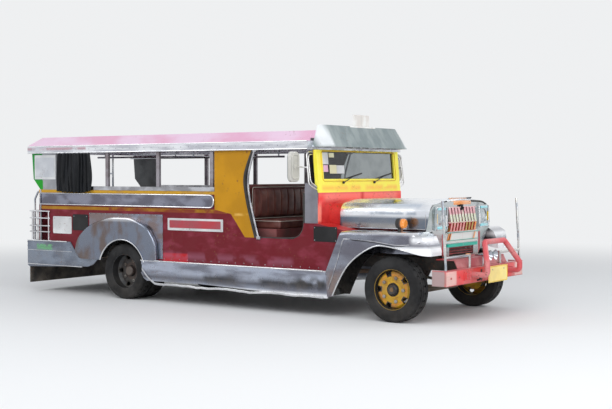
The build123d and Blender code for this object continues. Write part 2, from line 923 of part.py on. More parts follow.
def running_board():
    """The side step: a ledge with a strip, and a bulged panel that tapers down to the front."""
    x = (rear(356), front(-880))
    ledge = block(x, (-body_half_width - board_out, -body_half_width + 40), (strip_low, running_top - 0.5))
    ledge -= block((x[0] - 5, x[1] + 5), (-body_half_width - board_out + 12, -body_half_width + 45),
                   (strip_low - 5, running_top - 12))
    outline = [
        (x[0], strip_low + 30), (x[1], strip_low + 30), (x[1] + 20, 238), (front(-2874), 298),
        (rear(459), 290), (rear(400), 320), (rear(356), 386),
    ]
    y = -body_half_width - board_out + 12
    panel = prism(outline, "y", y, y + 14)
    lip_outline = [
        (x[1] + 22, 225), (x[1] + 20, 252), (front(-2874), 312), (rear(462), 304), (rear(412), 330),
        (rear(370), 386), (rear(344), 386), (rear(392), 312), (rear(455), 277), (front(-2874), 285),
    ]
    lip = prism(lip_outline, "y", y - 8, y + 18)
    return ledge + panel + lip


write("running_boards", both_sides(running_board()))

band_z = (1255.0, 1427.0)


def side_moulding():
    """The long framed trim band under the windows, with a rounded front end."""
    x = (rear(tail_x), front(-2629))
    y = -body_half_width
    radius = 60.0
    plate = prism([(x[0], band_z[0]), (x[1], band_z[0]), (x[1], band_z[1]), (x[0], band_z[1])],
                  "y", y - 14, y)
    corners = plate.edges().filter_by(Axis.Y).filter_by_position(Axis.X, x[1] - 1, x[1] + 1)
    plate = fillet(corners, radius)
    frame = 22.0
    hollow = prism(
        [(x[0] + frame, band_z[0] + frame), (x[1] - frame, band_z[0] + frame),
         (x[1] - frame, band_z[1] - frame), (x[0] + frame, band_z[1] - frame)],
        "y", y - 15, y - 5,
    )
    corners = hollow.edges().filter_by(Axis.Y).filter_by_position(
        Axis.X, x[1] - frame - 1, x[1] - frame + 1
    )
    hollow = fillet(corners, radius - frame)
    return plate - hollow


write("side_trim", both_sides(side_moulding()), both_sides(wheel_plate()))

# Benches and seats
bench_inner_y = 620.0
bench_top = 1090.0
bench_x = (rear(tail_x) + 60, front(-2720))
cushion_thickness = 75.0


def bench():
    """A long side bench: a top board on a front board that stands on the floor."""
    y = (-inner_wall_y + 1, -bench_inner_y)
    top = block(bench_x, y, (bench_top - 20, bench_top))
    for x in ((bench_x[0], rear(-430)), (rear(430), bench_x[1])):
        top += block(x, (y[1] - 20, y[1]), (floor_top, bench_top))
    top += block((rear(-430), rear(430)), (y[1] - 20, y[1]), (wheelhouse_top + 1, bench_top))
    return top




def bench_cushion():
    """The padded seat along a bench."""
    y = (-inner_wall_y + 12, -bench_inner_y + 8)
    pad = block(
        (bench_x[0] + 8, bench_x[1] - 8), y, (bench_top + fit_gap, bench_top + cushion_thickness)
    )
    return fillet(pad.edges().group_by(Axis.Z)[-1], 22)




def back_pad():
    """The padded rest along the wall above a bench."""
    pad = block(
        (bench_x[0] + 8, bench_x[1] - 8), (-inner_wall_y + fit_gap, -inner_wall_y + 45), (1210, 1450)
    )
    return fillet(pad.edges().group_by(Axis.Y)[-1], 18)



seat_x = (front(-2230), front(-1720))
seat_top = 1010.0
seat_y = inner_wall_y - 60.0


def front_seat():
    """The base of the cab's bench seat, with the partition behind it."""
    base = block(seat_x, (-seat_y, seat_y), (floor_top, seat_top))
    base -= block((seat_x[0] + 20, seat_x[1] - 20), (-seat_y + 20, seat_y - 20), (floor_top - 5, seat_top - 20))
    partition = block((seat_x[0] - 25, seat_x[0]), (-seat_y, seat_y), (floor_top, 1560))
    return base + partition


write("seat_frames", both_sides(bench()), front_seat())


def front_cushions():
    """The cab's seat pad and its backrest."""
    pad = block((seat_x[0] + 95, seat_x[1]), (-seat_y + 20, seat_y - 20), (seat_top + fit_gap, seat_top + 110))
    back = block(
        (seat_x[0] + fit_gap, seat_x[0] + 85), (-seat_y + 20, seat_y - 20), (seat_top + fit_gap, 1530)
    )
    pad = fillet(pad.edges().group_by(Axis.Z)[-1], 25)
    back = fillet(back.edges().group_by(Axis.X)[-1], 25)
    return [pad, back]


write("seat_pads", both_sides(bench_cushion()), both_sides(back_pad()), front_cushions())


# Cab front: cowl, windscreen, visor and signs
cowl_half_y = 960.0
screen_low_z = 1466.0
screen_low_x = front(-1087)
screen_rake = 5.0
screen_height = 520.0
screen_half_y = 955.0
glass_half_y = 830.0
glass_low = 165.0
glass_high = 500.0
hood_half_y = 730.0
scuttle_x = (firewall_x, front(-935))
deck_z = 1030.0
hood_low = 1046.0
hood_top = 1385.0
hood_shoulder_z = 1330.0
hood_crown_y = 350.0
hood_round = 130.0


def hood_section(inset, low, x, reach):
    """The hood's cross section, set in by a wall, pushed forward from a place."""
    half = hood_half_y - inset
    corner = (half, hood_shoulder_z - inset)
    crown = (hood_crown_y, hood_top - inset)
    outline = [(-half, low), (-corner[0], corner[1]), (-crown[0], crown[1]), crown, corner, (half, low)]
    points = [place(p, "x", x) for p in outline]
    bends = [hood_round - inset, 500, 500, hood_round - inset]
    curve = FilletPolyline(*points, radius=bends)
    face = make_face(curve.edges() + [Line(points[-1], points[0])])
    return extrude(face, amount=reach, dir=(1, 0, 0))


def cowl():
    """The pressed front of the cab: firewall, scuttle box, side decks and the screen's foot."""
    wall_x = (firewall_x - 20, firewall_x)
    body = block(wall_x, (-cowl_half_y, cowl_half_y), (floor_top, screen_low_z))
    reach = scuttle_x[1] - wall_x[1]
    scuttle = hood_section(4, deck_z - 10, wall_x[1], reach)
    body += scuttle - hood_section(18, deck_z - 15, wall_x[1], reach + 5)
    for side in (-1, 1):
        y = sorted((side * hood_half_y, side * inner_wall_y))
        deck = prism(
            [(firewall_x, cowl_top), (firewall_x, deck_z - 6), (front(-690), deck_z - 6), (front(-690), deck_z)],
            "y", *y,
        )
        trim = prism(
            [(firewall_x - 5, cowl_top - 16), (firewall_x - 5, deck_z - 20), (front(-680), deck_z - 20),
             (front(-680), deck_z - 16)],
            "y", y[0] - 1, y[1] + 1,
        )
        body += deck - trim
        y = sorted((side * cowl_half_y, side * inner_wall_y))
        body += block((front(-1240), firewall_x), y, (cowl_top - 14, cowl_top))
    return body




def apron():
    """The grey sheet that closes the corner between doorway and cowl."""
    outline = [(-1284, 1582), (-1311, cowl_top), (-1081, cowl_top), (-1100.5, 1452), (-1124, 1560)]
    y = -cowl_half_y
    return prism(at_front(outline), "y", y - 8, y)


apron_sheet = apron()
write("cowl", cowl() + apron_sheet + flipped(apron_sheet))


def tilted(shape):
    """A piece drawn upright at the foot of the screen, leaned back by the rake."""
    return Plane(origin=(screen_low_x, 0, screen_low_z)) * (Rot(0, -screen_rake, 0) * shape)


def screen_frame():
    """The windscreen's painted frame, with its opening and a centre foot."""
    ring = block((-50, 0), (-screen_half_y, screen_half_y), (-20, screen_height))
    ring -= block((-55, 5), (-glass_half_y, glass_half_y), (glass_low, glass_high))
    groove = block((-32, -22), (-glass_half_y - 12, glass_half_y + 12), (glass_low - 12, glass_high + 12))
    below = block((firewall_x - 200, firewall_x + 100), (-1000, 1000), (screen_low_z - 100, screen_low_z))
    return tilted(ring - groove) - below


screen_ring = screen_frame()
write("windscreen_frame", screen_ring)
glass = block(
    (-32 + fit_gap, -22 - fit_gap),
    (-glass_half_y - 11, glass_half_y + 11),
    (glass_low - 12 + fit_gap, glass_high + 11),
)
write("windscreen_glass", tilted(glass))

visor_front_x = front(-930)
visor_top_x = front(-1080)
visor_low_z = 2018.0
visor_top_z = 2285.0


def visor_form(inset):
    """The visor's outer form, or the hollow inside it."""
    low = [(visor_front_x - inset, -860 + inset), (visor_front_x - inset, 860 - inset),
           (roof_front_x, 985 - inset), (roof_front_x, -985 + inset)]
    top = [(visor_top_x - inset, -800 + inset), (visor_top_x - inset, 800 - inset),
           (roof_front_x, 880 - inset), (roof_front_x, -880 + inset)]
    drop = inset * 0.8
    low_face = make_face(Polyline(*[(x, y, visor_low_z - (5 if inset else 0)) for x, y in low], close=True))
    top_face = make_face(Polyline(*[(x, y, visor_top_z - drop) for x, y in top], close=True))
    return loft([low_face, top_face])




def roof_sign():
    """A bare upright sign plate on two feet above the visor."""
    x = (visor_top_x + 0, visor_top_x + 6)
    z = (visor_top_z + 8, visor_top_z + 150)
    plate = block((x[0] - 26, x[0] - 20), (-190, 190), z)
    for y in (-120, 120):
        plate += block((x[0] - 40, x[0] - 20), (y - 12, y + 12), (visor_top_z, z[0] + 20))
    return plate


write("visor", visor_form(0) - visor_form(16) + roof_sign())


def mirror_set():
    """An oblong mirror on a bowed double bracket, outboard of the screen."""
    y = -1200.0
    head = block((front(-1300), front(-1262)), (y - 105, y + 95), (1595, 1957))
    head = fillet(head.edges().filter_by(Axis.X), 62)
    head = fillet(edges_on(head, "X", front(-1262)), 14)
    frame_y = -screen_half_y
    arc = None
    for inset in (0, 34):
        top = (front(-1190), frame_y, 1960 - inset)
        low = (front(-1118), frame_y, 1500 + inset)
        loop = [
            top, (front(-1170), frame_y - 150 + inset, 1955 - inset),
            (front(-1120), frame_y - 165 + inset, 1560 + inset), low,
        ]
        tube = bent_rod(loop, 70, 8)
        arc = tube if arc is None else arc + tube
    stay = rod((front(-1270), y + 40, 1776), (front(-1146), frame_y - 155, 1770), 9)
    return head + stay + arc - screen_ring - apron_sheet


write("mirrors", both_sides(mirror_set()))

# Hood and grille
hood_x = (front(-930), front(298))
def hinge_drum(radius):
    """A wide drum about the hood's hinge line: the front edge's path as the hood swings."""
    ends = [(hood_x[0], side * 800, hood_top) for side in (-1, 1)]
    return rod(ends[0], ends[1], radius)


def hood():
    """The long hood in sheet, rounded along both sides, with a raised lip at its front."""
    reach = hood_x[1] - hood_x[0]
    outer = hood_section(0, hood_low, hood_x[0], reach)
    inner = hood_section(sheet, hood_low - 5, hood_x[0] - 5, reach + 10)
    panel = (outer - inner) & hinge_drum(reach - 3)
    lip = prism(
        [(hood_x[1] - 260, hood_top - 2), (hood_x[1] - 10, hood_top - 2), (hood_x[1] + 6, hood_top + 26),
         (hood_x[1] - 30, hood_top + 20)],
        "y", -300, 300,
    )
    return panel + lip


write("hood", hood())

grille_x = (front(300), front(322))
grille_half_y = 745.0
grille_top = 1366.0
lamp_y = 537.5
lamp_z = 1177.0
lamp_half = 138.0
bars_half_y = 345.0


def grille_shell():
    """The upright shell at the hood's front: lamp holes, bar opening and radiator opening."""
    corner_z = 1262.0
    outline = [
        (-grille_half_y, deck_z), (-grille_half_y, corner_z), (-grille_half_y + 90, grille_top - 32),
        (-hood_crown_y, grille_top), (hood_crown_y, grille_top),
        (grille_half_y - 90, grille_top - 32), (grille_half_y, corner_z), (grille_half_y, deck_z),
        (hood_half_y - 12, deck_z), (420, rail_top), (-420, rail_top), (12 - hood_half_y, deck_z),
    ]
    shell = prism(outline, "x", *grille_x)
    cut = (grille_x[0] - 5, grille_x[1] + 5)
    shell -= block(cut, (-bars_half_y, bars_half_y), (1012, 1302))
    shell -= block(cut, (-310, 310), (rail_top + 25, 829))
    for side in (-1, 1):
        shell -= rod((cut[0], side * lamp_y, lamp_z), (cut[1], side * lamp_y, lamp_z), 92)
        y = sorted((side * (grille_half_y - 25), side * grille_half_y))
        cheek = block((front(250), grille_x[0]), y, (deck_z, 1250))
        shell += cheek - hinge_drum(hood_x[1] - hood_x[0] + joint_gap)
    return shell


write("grille_shell", grille_shell())


def grille_bars():
    """Slanted bars in two rows that lean opposite ways, with the bright cross rails."""
    x = (grille_x[0] + 2, grille_x[1] + 16)
    bars = None
    for z in ((1012, 1022), (1112, 1126), (1292, 1302)):
        rail = block(x, (-bars_half_y, bars_half_y), z)
        bars = rail if bars is None else bars + rail
    count = 9
    pitch = 2 * (bars_half_y - 40) / (count - 1)
    lean = 34.0
    for k in range(count):
        y = -bars_half_y + 40 + pitch * k
        upper = [(y + lean - 11, 1120), (y + lean + 11, 1120), (y - lean + 11, 1298), (y - lean - 11, 1298)]
        lower = [(y - 8, 1016), (y + 14, 1016), (y + lean + 11, 1118), (y + lean - 11, 1118)]
        for outline in (upper, lower):
            outline = [(max(-bars_half_y, min(bars_half_y, p)), q) for p, q in outline]
            bars += prism(outline, "x", x[0], x[1] - 4)
    return bars




def radiator_slats():
    """Level slats across the radiator opening."""
    slats = None
    for k in range(4):
        z = rail_top + 40 + 26 * k
        slat = block((grille_x[0], grille_x[0] + 16), (-310, 310), (z, z + 8))
        slats = slat if slats is None else slats + slat
    slats += block((grille_x[0], grille_x[0] + 16), (-310, -300), (rail_top + 25, 829))
    slats += block((grille_x[0], grille_x[0] + 16), (300, 310), (rail_top + 25, 829))
    return slats




def headlamp():
    """A round lamp in a square bright bezel."""
    y = -lamp_y
    face = grille_x[1]
    bezel = block((face, face + 22), (y - lamp_half * 0.95, y + lamp_half * 0.95), (lamp_z - lamp_half, lamp_z + lamp_half))
    bezel = fillet(edges_on(bezel, "X", face + 22), 16)
    bezel -= rod((face - 5, y, lamp_z), (face + 30, y, lamp_z), 90)
    bowl = revolve(
        make_face(Polyline((face - 60, y, lamp_z), (face - 30, y, lamp_z + 70), (face, y, lamp_z + 90),
                           (face + 12, y, lamp_z + 90), (face + 20, y, lamp_z + 60), (face + 26, y, lamp_z),
                           close=True)),
        axis=Axis((0, y, lamp_z), (1, 0, 0)),
    )
    return [bezel + bowl]


write("headlamps", both_sides(headlamp()))


def sign_strip():
    """The bare strip under the bars and the painted bar below it."""
    strip = block((grille_x[1], grille_x[1] + 14), (-400, 400), (880, 1000))
    bar = block((grille_x[1], grille_x[1] + 24), (-370, 370), (832, 868))
    return [strip, bar]


write("grille_bars", grille_bars(), radiator_slats(), sign_strip())


# Front fenders
fender_y = (-body_half_width - 60.0, -hood_half_y)
wing_top = 1030.0
wing_arch = [
    (450, 766), (380, 778), (167, 836), (-24, 870), (-180, 881), (-358, 801), (-559, 656),
    (-700, 440), (-790, 250),
]
wing_nose = [(300, wing_top), (385, 980), (430, 890), (452, 810), (450, 766)]
wing_corner = 200.0
crown_round = 60.0


def wing_form(inset):
    """The front wing's outline as a solid, or the hollow inside it, cut to its rounded corner."""
    y = (fender_y[0] + inset, fender_y[1] - inset)
    foot = (leg_low[0] + 20, 250)
    if inset:
        nose = [(x - inset, z - inset / 2) for x, z in wing_nose[1:4]]
        outline = [
            (foot[0] + inset, 200), (leg_low[0] + inset, leg_low[1]), (leg_top[0] + inset, wing_top - inset),
            (wing_nose[0][0] - inset / 2, wing_top - inset), *nose, (420, 600), (-500, 100),
        ]
        form = prism(at_front(outline), "y", *y)
    else:
        top = [foot, leg_low, leg_top, (leg_top[0] + 60, wing_top), *wing_nose]
        edges = [Polyline(*[place(p, "y", y[0]) for p in at_front(top)])]
        edges.append(Spline(*[place(p, "y", y[0]) for p in at_front(wing_arch)]))
        edges.append(Line(edges[1] @ 1, edges[0] @ 0))
        form = extrude(make_face(edges), amount=y[1] - y[0], dir=(0, 1, 0))
    crown = [e for e in edges_on(form, "Y", y[0]) if e.center().Z > 930]
    form = fillet(crown, crown_round - inset)
    plan_x = (front(-1000), front(wing_nose[3][0]) - inset)
    plan = block(plan_x, (y[0], -hood_half_y + 100), (50, 1200))
    corner = [e for e in plan.edges().filter_by(Axis.Z) if e.center().X > front(0) and e.center().Y < -900]
    return form & fillet(corner, wing_corner - inset)


def front_fender():
    """A flat-topped wing in sheet, with a rounded nose and a long rear leg."""
    return wing_form(0) - wing_form(sheet) + apron_wall()


def apron_wall():
    """The inner wall of the wing, beside the engine."""
    high = wing_top - sheet
    outline = [(leg_top[0], high), (300, high), (300, 760), (-560, 760), (leg_top[0], 900)]
    return prism(at_front(outline), "y", -hood_half_y - sheet, -hood_half_y)


write("front_fenders", both_sides(front_fender()))


def side_lamp():
    """A small amber lamp on a stem on each front wing."""
    x = front(0)
    y = -850.0
    z = 1121.0
    reach = 52.0
    stem = rod((x, y, wing_top), (x, y, z), 12)
    body = rod((x - reach, y, z), (x + reach, y, z), 56)
    body = fillet(edges_on(body, "X", x + reach) + edges_on(body, "X", x - reach), 24)
    return stem + body



# Bumper, bull bar and corner poles
bumper_face = front(660)
bumper_z = (437.0, 613.0)
bumper_half = 990.0
bumper_depth = 55.0
bumper_return = 190.0
pole_y = 965.0
bar_radius = 32.0


def bumper():
    """A box bumper with side returns, carried on the ends of the frame rails."""
    outline = [
        (bumper_face - bumper_return, -bumper_half), (bumper_face, -bumper_half),
        (bumper_face, bumper_half), (bumper_face - bumper_return, bumper_half),
        (bumper_face - bumper_return, bumper_half - 12), (bumper_face - bumper_depth, bumper_half - 12),
        (bumper_face - bumper_depth, -bumper_half + 12), (bumper_face - bumper_return, -bumper_half + 12),
    ]
    beam = prism(outline, "z", *bumper_z)
    for side in (-1, 1):
        y = sorted((side * rail_inner_y, side * rail_outer_y))
        beam += block((front(rail_front_x), bumper_face - bumper_depth), y, (rail_bottom, bumper_z[1]))
        hook_y = side * 560
        beam += block((bumper_face, bumper_face + 14), (hook_y - 30, hook_y + 30), (480, 580))
        beam += block((bumper_face + 14, bumper_face + 70), (hook_y - 9, hook_y + 9), (490, 570))
        beam -= rod((bumper_face + 45, hook_y - 20, 530), (bumper_face + 45, hook_y + 20, 530), tow_hole)
    return beam


tow_hole = 16.0

def bumper_shelf():
    """The painted shelf from the foot of the grille, over the rails and down to the bumper."""
    top = bumper_z[1]
    nose = front(rail_front_x)
    back = bumper_face - bumper_depth
    outline = [
        (front(330), rail_top), (nose, rail_top), (back - 5, top), (back + 7, top),
        (back + 7, top + 10), (back + 1, top + 10), (nose + 6, rail_top + 10), (front(330), rail_top + 10),
    ]
    return prism(outline, "y", -640, 640)




def bull_bar():
    """A bowed tube in front of the grille, its legs on the bumper's face."""
    leg_x = length / 2 - bar_radius
    top_x = bumper_face + 95
    foot = 433.0
    crown = 260.0
    loop = [
        (bumper_face, -foot, 540), (leg_x, -foot, 540), (leg_x, -foot, 640), (top_x, -crown, 905),
        (top_x, crown, 905), (leg_x, foot, 640), (leg_x, foot, 540), (bumper_face, foot, 540),
    ]
    bar = bent_rod(loop, 45, bar_radius)
    for side in (-1, 1):
        pad = sorted((side * (foot - 45), side * (foot + 45)))
        bar += block((bumper_face, bumper_face + 12), pad, (480, 600))
    return bar




def corner_pole():
    """A bright upright pole on the bumper's corner, braced to the bull bar by a rail."""
    foot = (bumper_face - 30, -pole_y, bumper_z[1])
    tip = (bumper_face - 74, -pole_y, 1390)
    pole = rod(foot, tip, 15)
    pole -= block((foot[0] - 50, foot[0] + 50), (-pole_y - 50, -pole_y + 50), (bumper_z[1] - 50, bumper_z[1]))
    rail = rod((bumper_face - 38, -pole_y, 750), (bumper_face - 38, -380, 750), 17)
    rail += rod((bumper_face - 28, -400, 750), (bumper_face - 28, -400, bumper_z[1]), 17)
    return pole + rail


write("corner_poles", both_sides(corner_pole()))

plate_x = bumper_face + 140
plate_half = 250.0
plate_z = (432.0, 622.0)
plate_bolt = 4.0


def number_plate():
    """A bare plate on two straps in front of the bumper."""
    plate = block((plate_x, plate_x + 4), (-plate_half, plate_half), plate_z)
    for y in (-150, 150):
        plate += block((bumper_face, plate_x), (y - 15, y + 15), (500, 506))
        plate += block((plate_x - 6, plate_x), (y - 15, y + 15), (460, 600))
        plate += block((bumper_face, bumper_face + 6), (y - 15, y + 15), (450, 580))
        plate -= rod((plate_x - 20, y, 580), (plate_x + 20, y, 580), plate_bolt)
    return plate


write("number_plate", number_plate())


def horns():
    """Two bright trumpet horns on the shelf behind the bull bar."""
    x = bumper_face
    z = 740.0
    group = None
    for y in (-70, 70):
        bell = revolve(
            make_face(Polyline((x - 120, y, z), (x - 120, y, z + 14), (x + 20, y, z + 20), (x + 70, y, z + 60),
                               (x + 78, y, z + 60), (x + 40, y, z + 12), (x + 30, y, z), close=True)),
            axis=Axis((0, y, z), (1, 0, 0)),
        )
        bell += rod((x - 20, y, bumper_z[1]), (x - 20, y, z), 9)
        group = bell if group is None else group + bell
    group += block((x - 38, x - 6), (-90, 90), (bumper_z[1], bumper_z[1] + 6))
    return group


write("horns", horns())

write("front_bumper", bumper() + bumper_shelf() + bull_bar())

# Driver's place
dash_x = (firewall_x - 200, firewall_x - 20)
dash_z = (1230.0, 1440.0)


def dashboard():
    """The dashboard across the cab, bent forward at its foot."""
    outline = [
        (dash_x[1], dash_z[0]), (dash_x[1], dash_z[1]), (dash_x[0] + 30, dash_z[1]),
        (dash_x[0], dash_z[1] - 30), (dash_x[0] + 20, dash_z[0]),
    ]
    return prism(outline, "y", -940, 940)



column_way = Vector(math.cos(math.radians(column_rake)), 0, -math.sin(math.radians(column_rake)))
wheel_middle = Vector(front(steering_wheel_x), steering_wheel_y, steering_wheel_z)
column_radius = 26.0
hub_length = 60.0


def along_column(distance):
    """A point on the steering column's line, forward and down from the wheel's middle."""
    return tuple(wheel_middle + column_way * distance)


def steering_wheel():
    """A three-spoked wheel on its hub."""
    spot = Plane(origin=wheel_middle, z_dir=-column_way, x_dir=(0, 1, 0))
    wheel = spot * Torus(steering_wheel_radius, 14)
    wheel += rod(along_column(hub_length), along_column(-14), 38)
    for angle in (90, 210, 330):
        reach = steering_wheel_radius
        spoke = Pos(reach / 2, 0, 0) * Box(reach, 24, 12)
        wheel += spot * (Rot(0, 0, angle) * spoke)
    return wheel


write("steering_wheel", steering_wheel())


def steering_column():
    """The fixed column tube from the hub down through the dashboard's foot to the firewall."""
    reach = (wheel_middle.X - (firewall_x - 20)) / -column_way.X
    tube = rod(along_column(hub_length + fit_gap), along_column(reach + 40), column_radius)
    tube -= block((firewall_x - 20, firewall_x + 300), (-inner_wall_y, inner_wall_y), (0, 2000))
    return tube


write("dashboard", dashboard() + steering_column())


# Lamps at the tail and the rolled rain curtain
def tail_lamps():
    """A round red lamp and a square one on each half of the rear face."""
    x = rear(tail_x) - 30
    y = -820.0
    lamp = rod((x, y, 960), (x - 34, y, 960), 55)
    lamp = fillet(edges_on(lamp, "X", x - 34), 14)
    square = block((x - 26, x), (y - 50, y + 50), (800, 870))
    return [lamp, square]


write("marker_lamps", [both_sides(lamp) for lamp in [side_lamp()] + tail_lamps()])


def rain_curtain():
    """The gathered rain curtain that hangs outside the last window, as its filled outer shape."""
    x = (rear(-1340), rear(-590))
    y = (-body_half_width - 65, -body_half_width - 8)
    curtain = block(x, y, (1432, eaves - fit_gap))
    return fillet(curtain.edges().filter_by(Axis.Z), 20)


write("rain_curtain", rain_curtain())
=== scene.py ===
import bpy
import math

from mathutils import Matrix, Vector, noise


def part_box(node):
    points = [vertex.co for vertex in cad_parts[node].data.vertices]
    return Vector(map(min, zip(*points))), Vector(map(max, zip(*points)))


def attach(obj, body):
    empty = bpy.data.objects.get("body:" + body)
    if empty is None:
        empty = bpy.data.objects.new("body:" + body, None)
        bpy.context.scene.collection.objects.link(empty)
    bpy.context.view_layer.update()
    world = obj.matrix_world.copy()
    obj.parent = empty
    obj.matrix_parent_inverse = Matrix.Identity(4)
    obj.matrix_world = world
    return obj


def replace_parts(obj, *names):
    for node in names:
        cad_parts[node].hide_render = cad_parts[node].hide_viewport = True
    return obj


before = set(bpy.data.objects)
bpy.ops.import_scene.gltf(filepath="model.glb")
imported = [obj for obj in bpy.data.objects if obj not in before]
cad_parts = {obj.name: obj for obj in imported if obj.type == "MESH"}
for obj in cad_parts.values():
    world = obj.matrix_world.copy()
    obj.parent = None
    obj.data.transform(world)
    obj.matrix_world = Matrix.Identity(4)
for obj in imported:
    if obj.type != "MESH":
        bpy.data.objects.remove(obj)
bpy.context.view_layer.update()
print("frame loaded:", len(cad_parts), "nodes")

# the camera, at the photograph's place
cameraSpot = {"place": (9.133, -11.945, 1.683), "pitch": 1.534, "turn": 35.336, "lens": 65.65}
bpy.ops.object.camera_add(location=cameraSpot["place"])
camera = bpy.context.object
camera.rotation_euler = (math.radians(90 - cameraSpot["pitch"]), 0, math.radians(cameraSpot["turn"]))
camera.data.lens = cameraSpot["lens"]
camera.data.sensor_width = 36
camera.data.clip_end = 200
bpy.context.scene.camera = camera


# short hands for wiring one node tree; a value is a number, a colour, a place or another node's socket
def toolsFor(tree):
    def feed(socket, value):
        if isinstance(value, bpy.types.NodeSocket):
            tree.links.new(value, socket)
        elif isinstance(value, tuple) and len(value) == 3 and socket.type == "RGBA":
            socket.default_value = (*value, 1)
        else:
            socket.default_value = value

    def node(kind, inputs=None, **settings):
        made = tree.nodes.new("ShaderNode" + kind)
        for label, value in settings.items():
            setattr(made, label, value)
        for slot, value in (inputs or {}).items():
            feed(made.inputs[slot], value)
        return made

    def maths(action, *values, clamp=False):
        return node("Math", dict(enumerate(values)), operation=action, use_clamp=clamp).outputs[0]

    # a smooth step of a value between two limits, to 0 and 1 or the two numbers given
    def ramp(*values):
        return node("MapRange", dict(enumerate(values)), interpolation_type="SMOOTHSTEP").outputs[0]

    def blend(mask, first, second):
        return node("Mix", {0: mask, 6: first, 7: second}, data_type="RGBA").outputs[2]

    def use(group, **values):
        return node("Group", values, node_tree=group).outputs

    return feed, node, maths, ramp, blend, use


# light and floor
studio = {
    "backdrop": (0.86, 0.87, 0.88), "floor": (0.84, 0.85, 0.86), "ambient": (0.93, 0.96, 1.0), "ambientStrength": 0.52,
    "lamps": [  # place, size, power, the point it aims at
        ((4.0, -9.0, 8.0), 7.0, 470, (0.3, 0, 1.0)), ((-6.0, -6.5, 6.5), 5.0, 170, (-1.5, 0, 1.2)),
        ((7.5, 5.0, 6.0), 5.0, 140, (1.5, 0, 1.0)), ((10.5, -3.5, 4.2), 5.5, 260, (2.6, 0, 1.0))]}


# where the backdrop shows: to the eye, and in metal and glass
def seenRays(node, maths):
    ray = node("LightPath").outputs
    direct = maths("MAXIMUM", ray["Is Camera Ray"], ray["Is Glossy Ray"])
    return maths("MAXIMUM", direct, ray["Is Transmission Ray"])


def dressStudio():
    world = bpy.data.worlds.new("studioWorld")
    bpy.context.scene.world = world
    world.use_nodes = True
    world.node_tree.nodes.clear()
    feed, node, maths, ramp, blend, use = toolsFor(world.node_tree)
    seen = node("Background", {"Color": studio["backdrop"], "Strength": 1.0})
    soft = node("Background", {"Color": studio["ambient"], "Strength": studio["ambientStrength"]})
    mix = node("MixShader", {0: seenRays(node, maths), 1: soft.outputs[0], 2: seen.outputs[0]})
    node("OutputWorld", {0: mix.outputs[0]})
    for place, size, power, target in studio["lamps"]:
        bpy.ops.object.light_add(type="AREA", location=place)
        light = bpy.context.object
        light.data.energy, light.data.size = power, size
        light.rotation_euler = (Vector(target) - Vector(place)).to_track_quat("-Z", "Y").to_euler()
    bpy.ops.mesh.primitive_plane_add(size=120)
    floor = bpy.context.object
    floor.name = "studioFloor"
    paint = bpy.data.materials.new("studioFloorPaint")
    paint.use_nodes = True
    nodes = paint.node_tree.nodes
    feed, node, maths, ramp, blend, use = toolsFor(paint.node_tree)
    body = nodes["Principled BSDF"]
    feed(body.inputs["Base Color"], studio["floor"])
    feed(body.inputs["Roughness"], 0.75)
    reach = node("VectorMath", {0: node("TexCoord").outputs["Object"]}, operation="LENGTH").outputs["Value"]
    far = maths("MULTIPLY", ramp(reach, 4.5, 15.0), seenRays(node, maths))  # the floor fades into the backdrop
    glow = node("Emission", {"Color": studio["backdrop"]})
    mix = node("MixShader", {0: far, 1: body.outputs[0], 2: glow.outputs[0]})
    feed(nodes["Material Output"].inputs[0], mix.outputs[0])
    floor.data.materials.append(paint)
    bpy.context.scene.view_settings.view_transform = "Standard"
    print("studio ready")


dressStudio()


# a shader group: inputs of three numbers are places, of four colours, and the rest are numbers
def newGroup(name, outputs, **inputs):
    group = bpy.data.node_groups.new(name, "ShaderNodeTree")
    kinds = {1: "NodeSocketFloat", 3: "NodeSocketVector", 4: "NodeSocketColor"}
    for label, value in inputs.items():
        kind = kinds[len(value) if isinstance(value, tuple) else 1]
        group.interface.new_socket(name=label, in_out="INPUT", socket_type=kind).default_value = value
    for label in outputs:
        group.interface.new_socket(name=label, in_out="OUTPUT", socket_type=kinds[4 if label == "Colour" else 1])
    return group, group.nodes.new("NodeGroupInput").outputs, group.nodes.new("NodeGroupOutput").inputs


origin, plainGrey = (0, 0, 0), (0.5, 0.5, 0.5, 1)

# patches: a soft noise cut into a mask, the size set in patches per metre
patches, given, result = newGroup("patches", ["Mask"], Place=origin, Stretch=(1, 1, 1), Scale=4.0, Detail=4.0, Low=0.4,
                                  High=0.6)
feed, node, maths, ramp, blend, use = toolsFor(patches)
stretched = node("VectorMath", {0: given["Place"], 1: given["Stretch"]}, operation="MULTIPLY").outputs[0]
cloud = node("TexNoise", {"Vector": stretched, "Scale": given["Scale"], "Detail": given["Detail"]}).outputs["Fac"]
feed(result["Mask"], ramp(cloud, given["Low"], given["High"]))

# inside: a soft box, from its lowest and highest corners
inside, given, result = newGroup("inside", ["Mask"], Place=origin, Lowest=origin, Highest=(1, 1, 1), Blur=0.004)
feed, node, maths, ramp, blend, use = toolsFor(inside)
spot, low, high = [node("SeparateXYZ", {0: given[label]}).outputs for label in ("Place", "Lowest", "Highest")]
for axis in range(3):
    rise, fall = [maths("DIVIDE", maths("SUBTRACT", far[axis], near[axis]), given["Blur"], clamp=True)
                  for near, far in ((low, spot), (spot, high))]
    both = maths("MULTIPLY", rise, fall)
    product = maths("MULTIPLY", product, both) if axis else both
feed(result["Mask"], product)

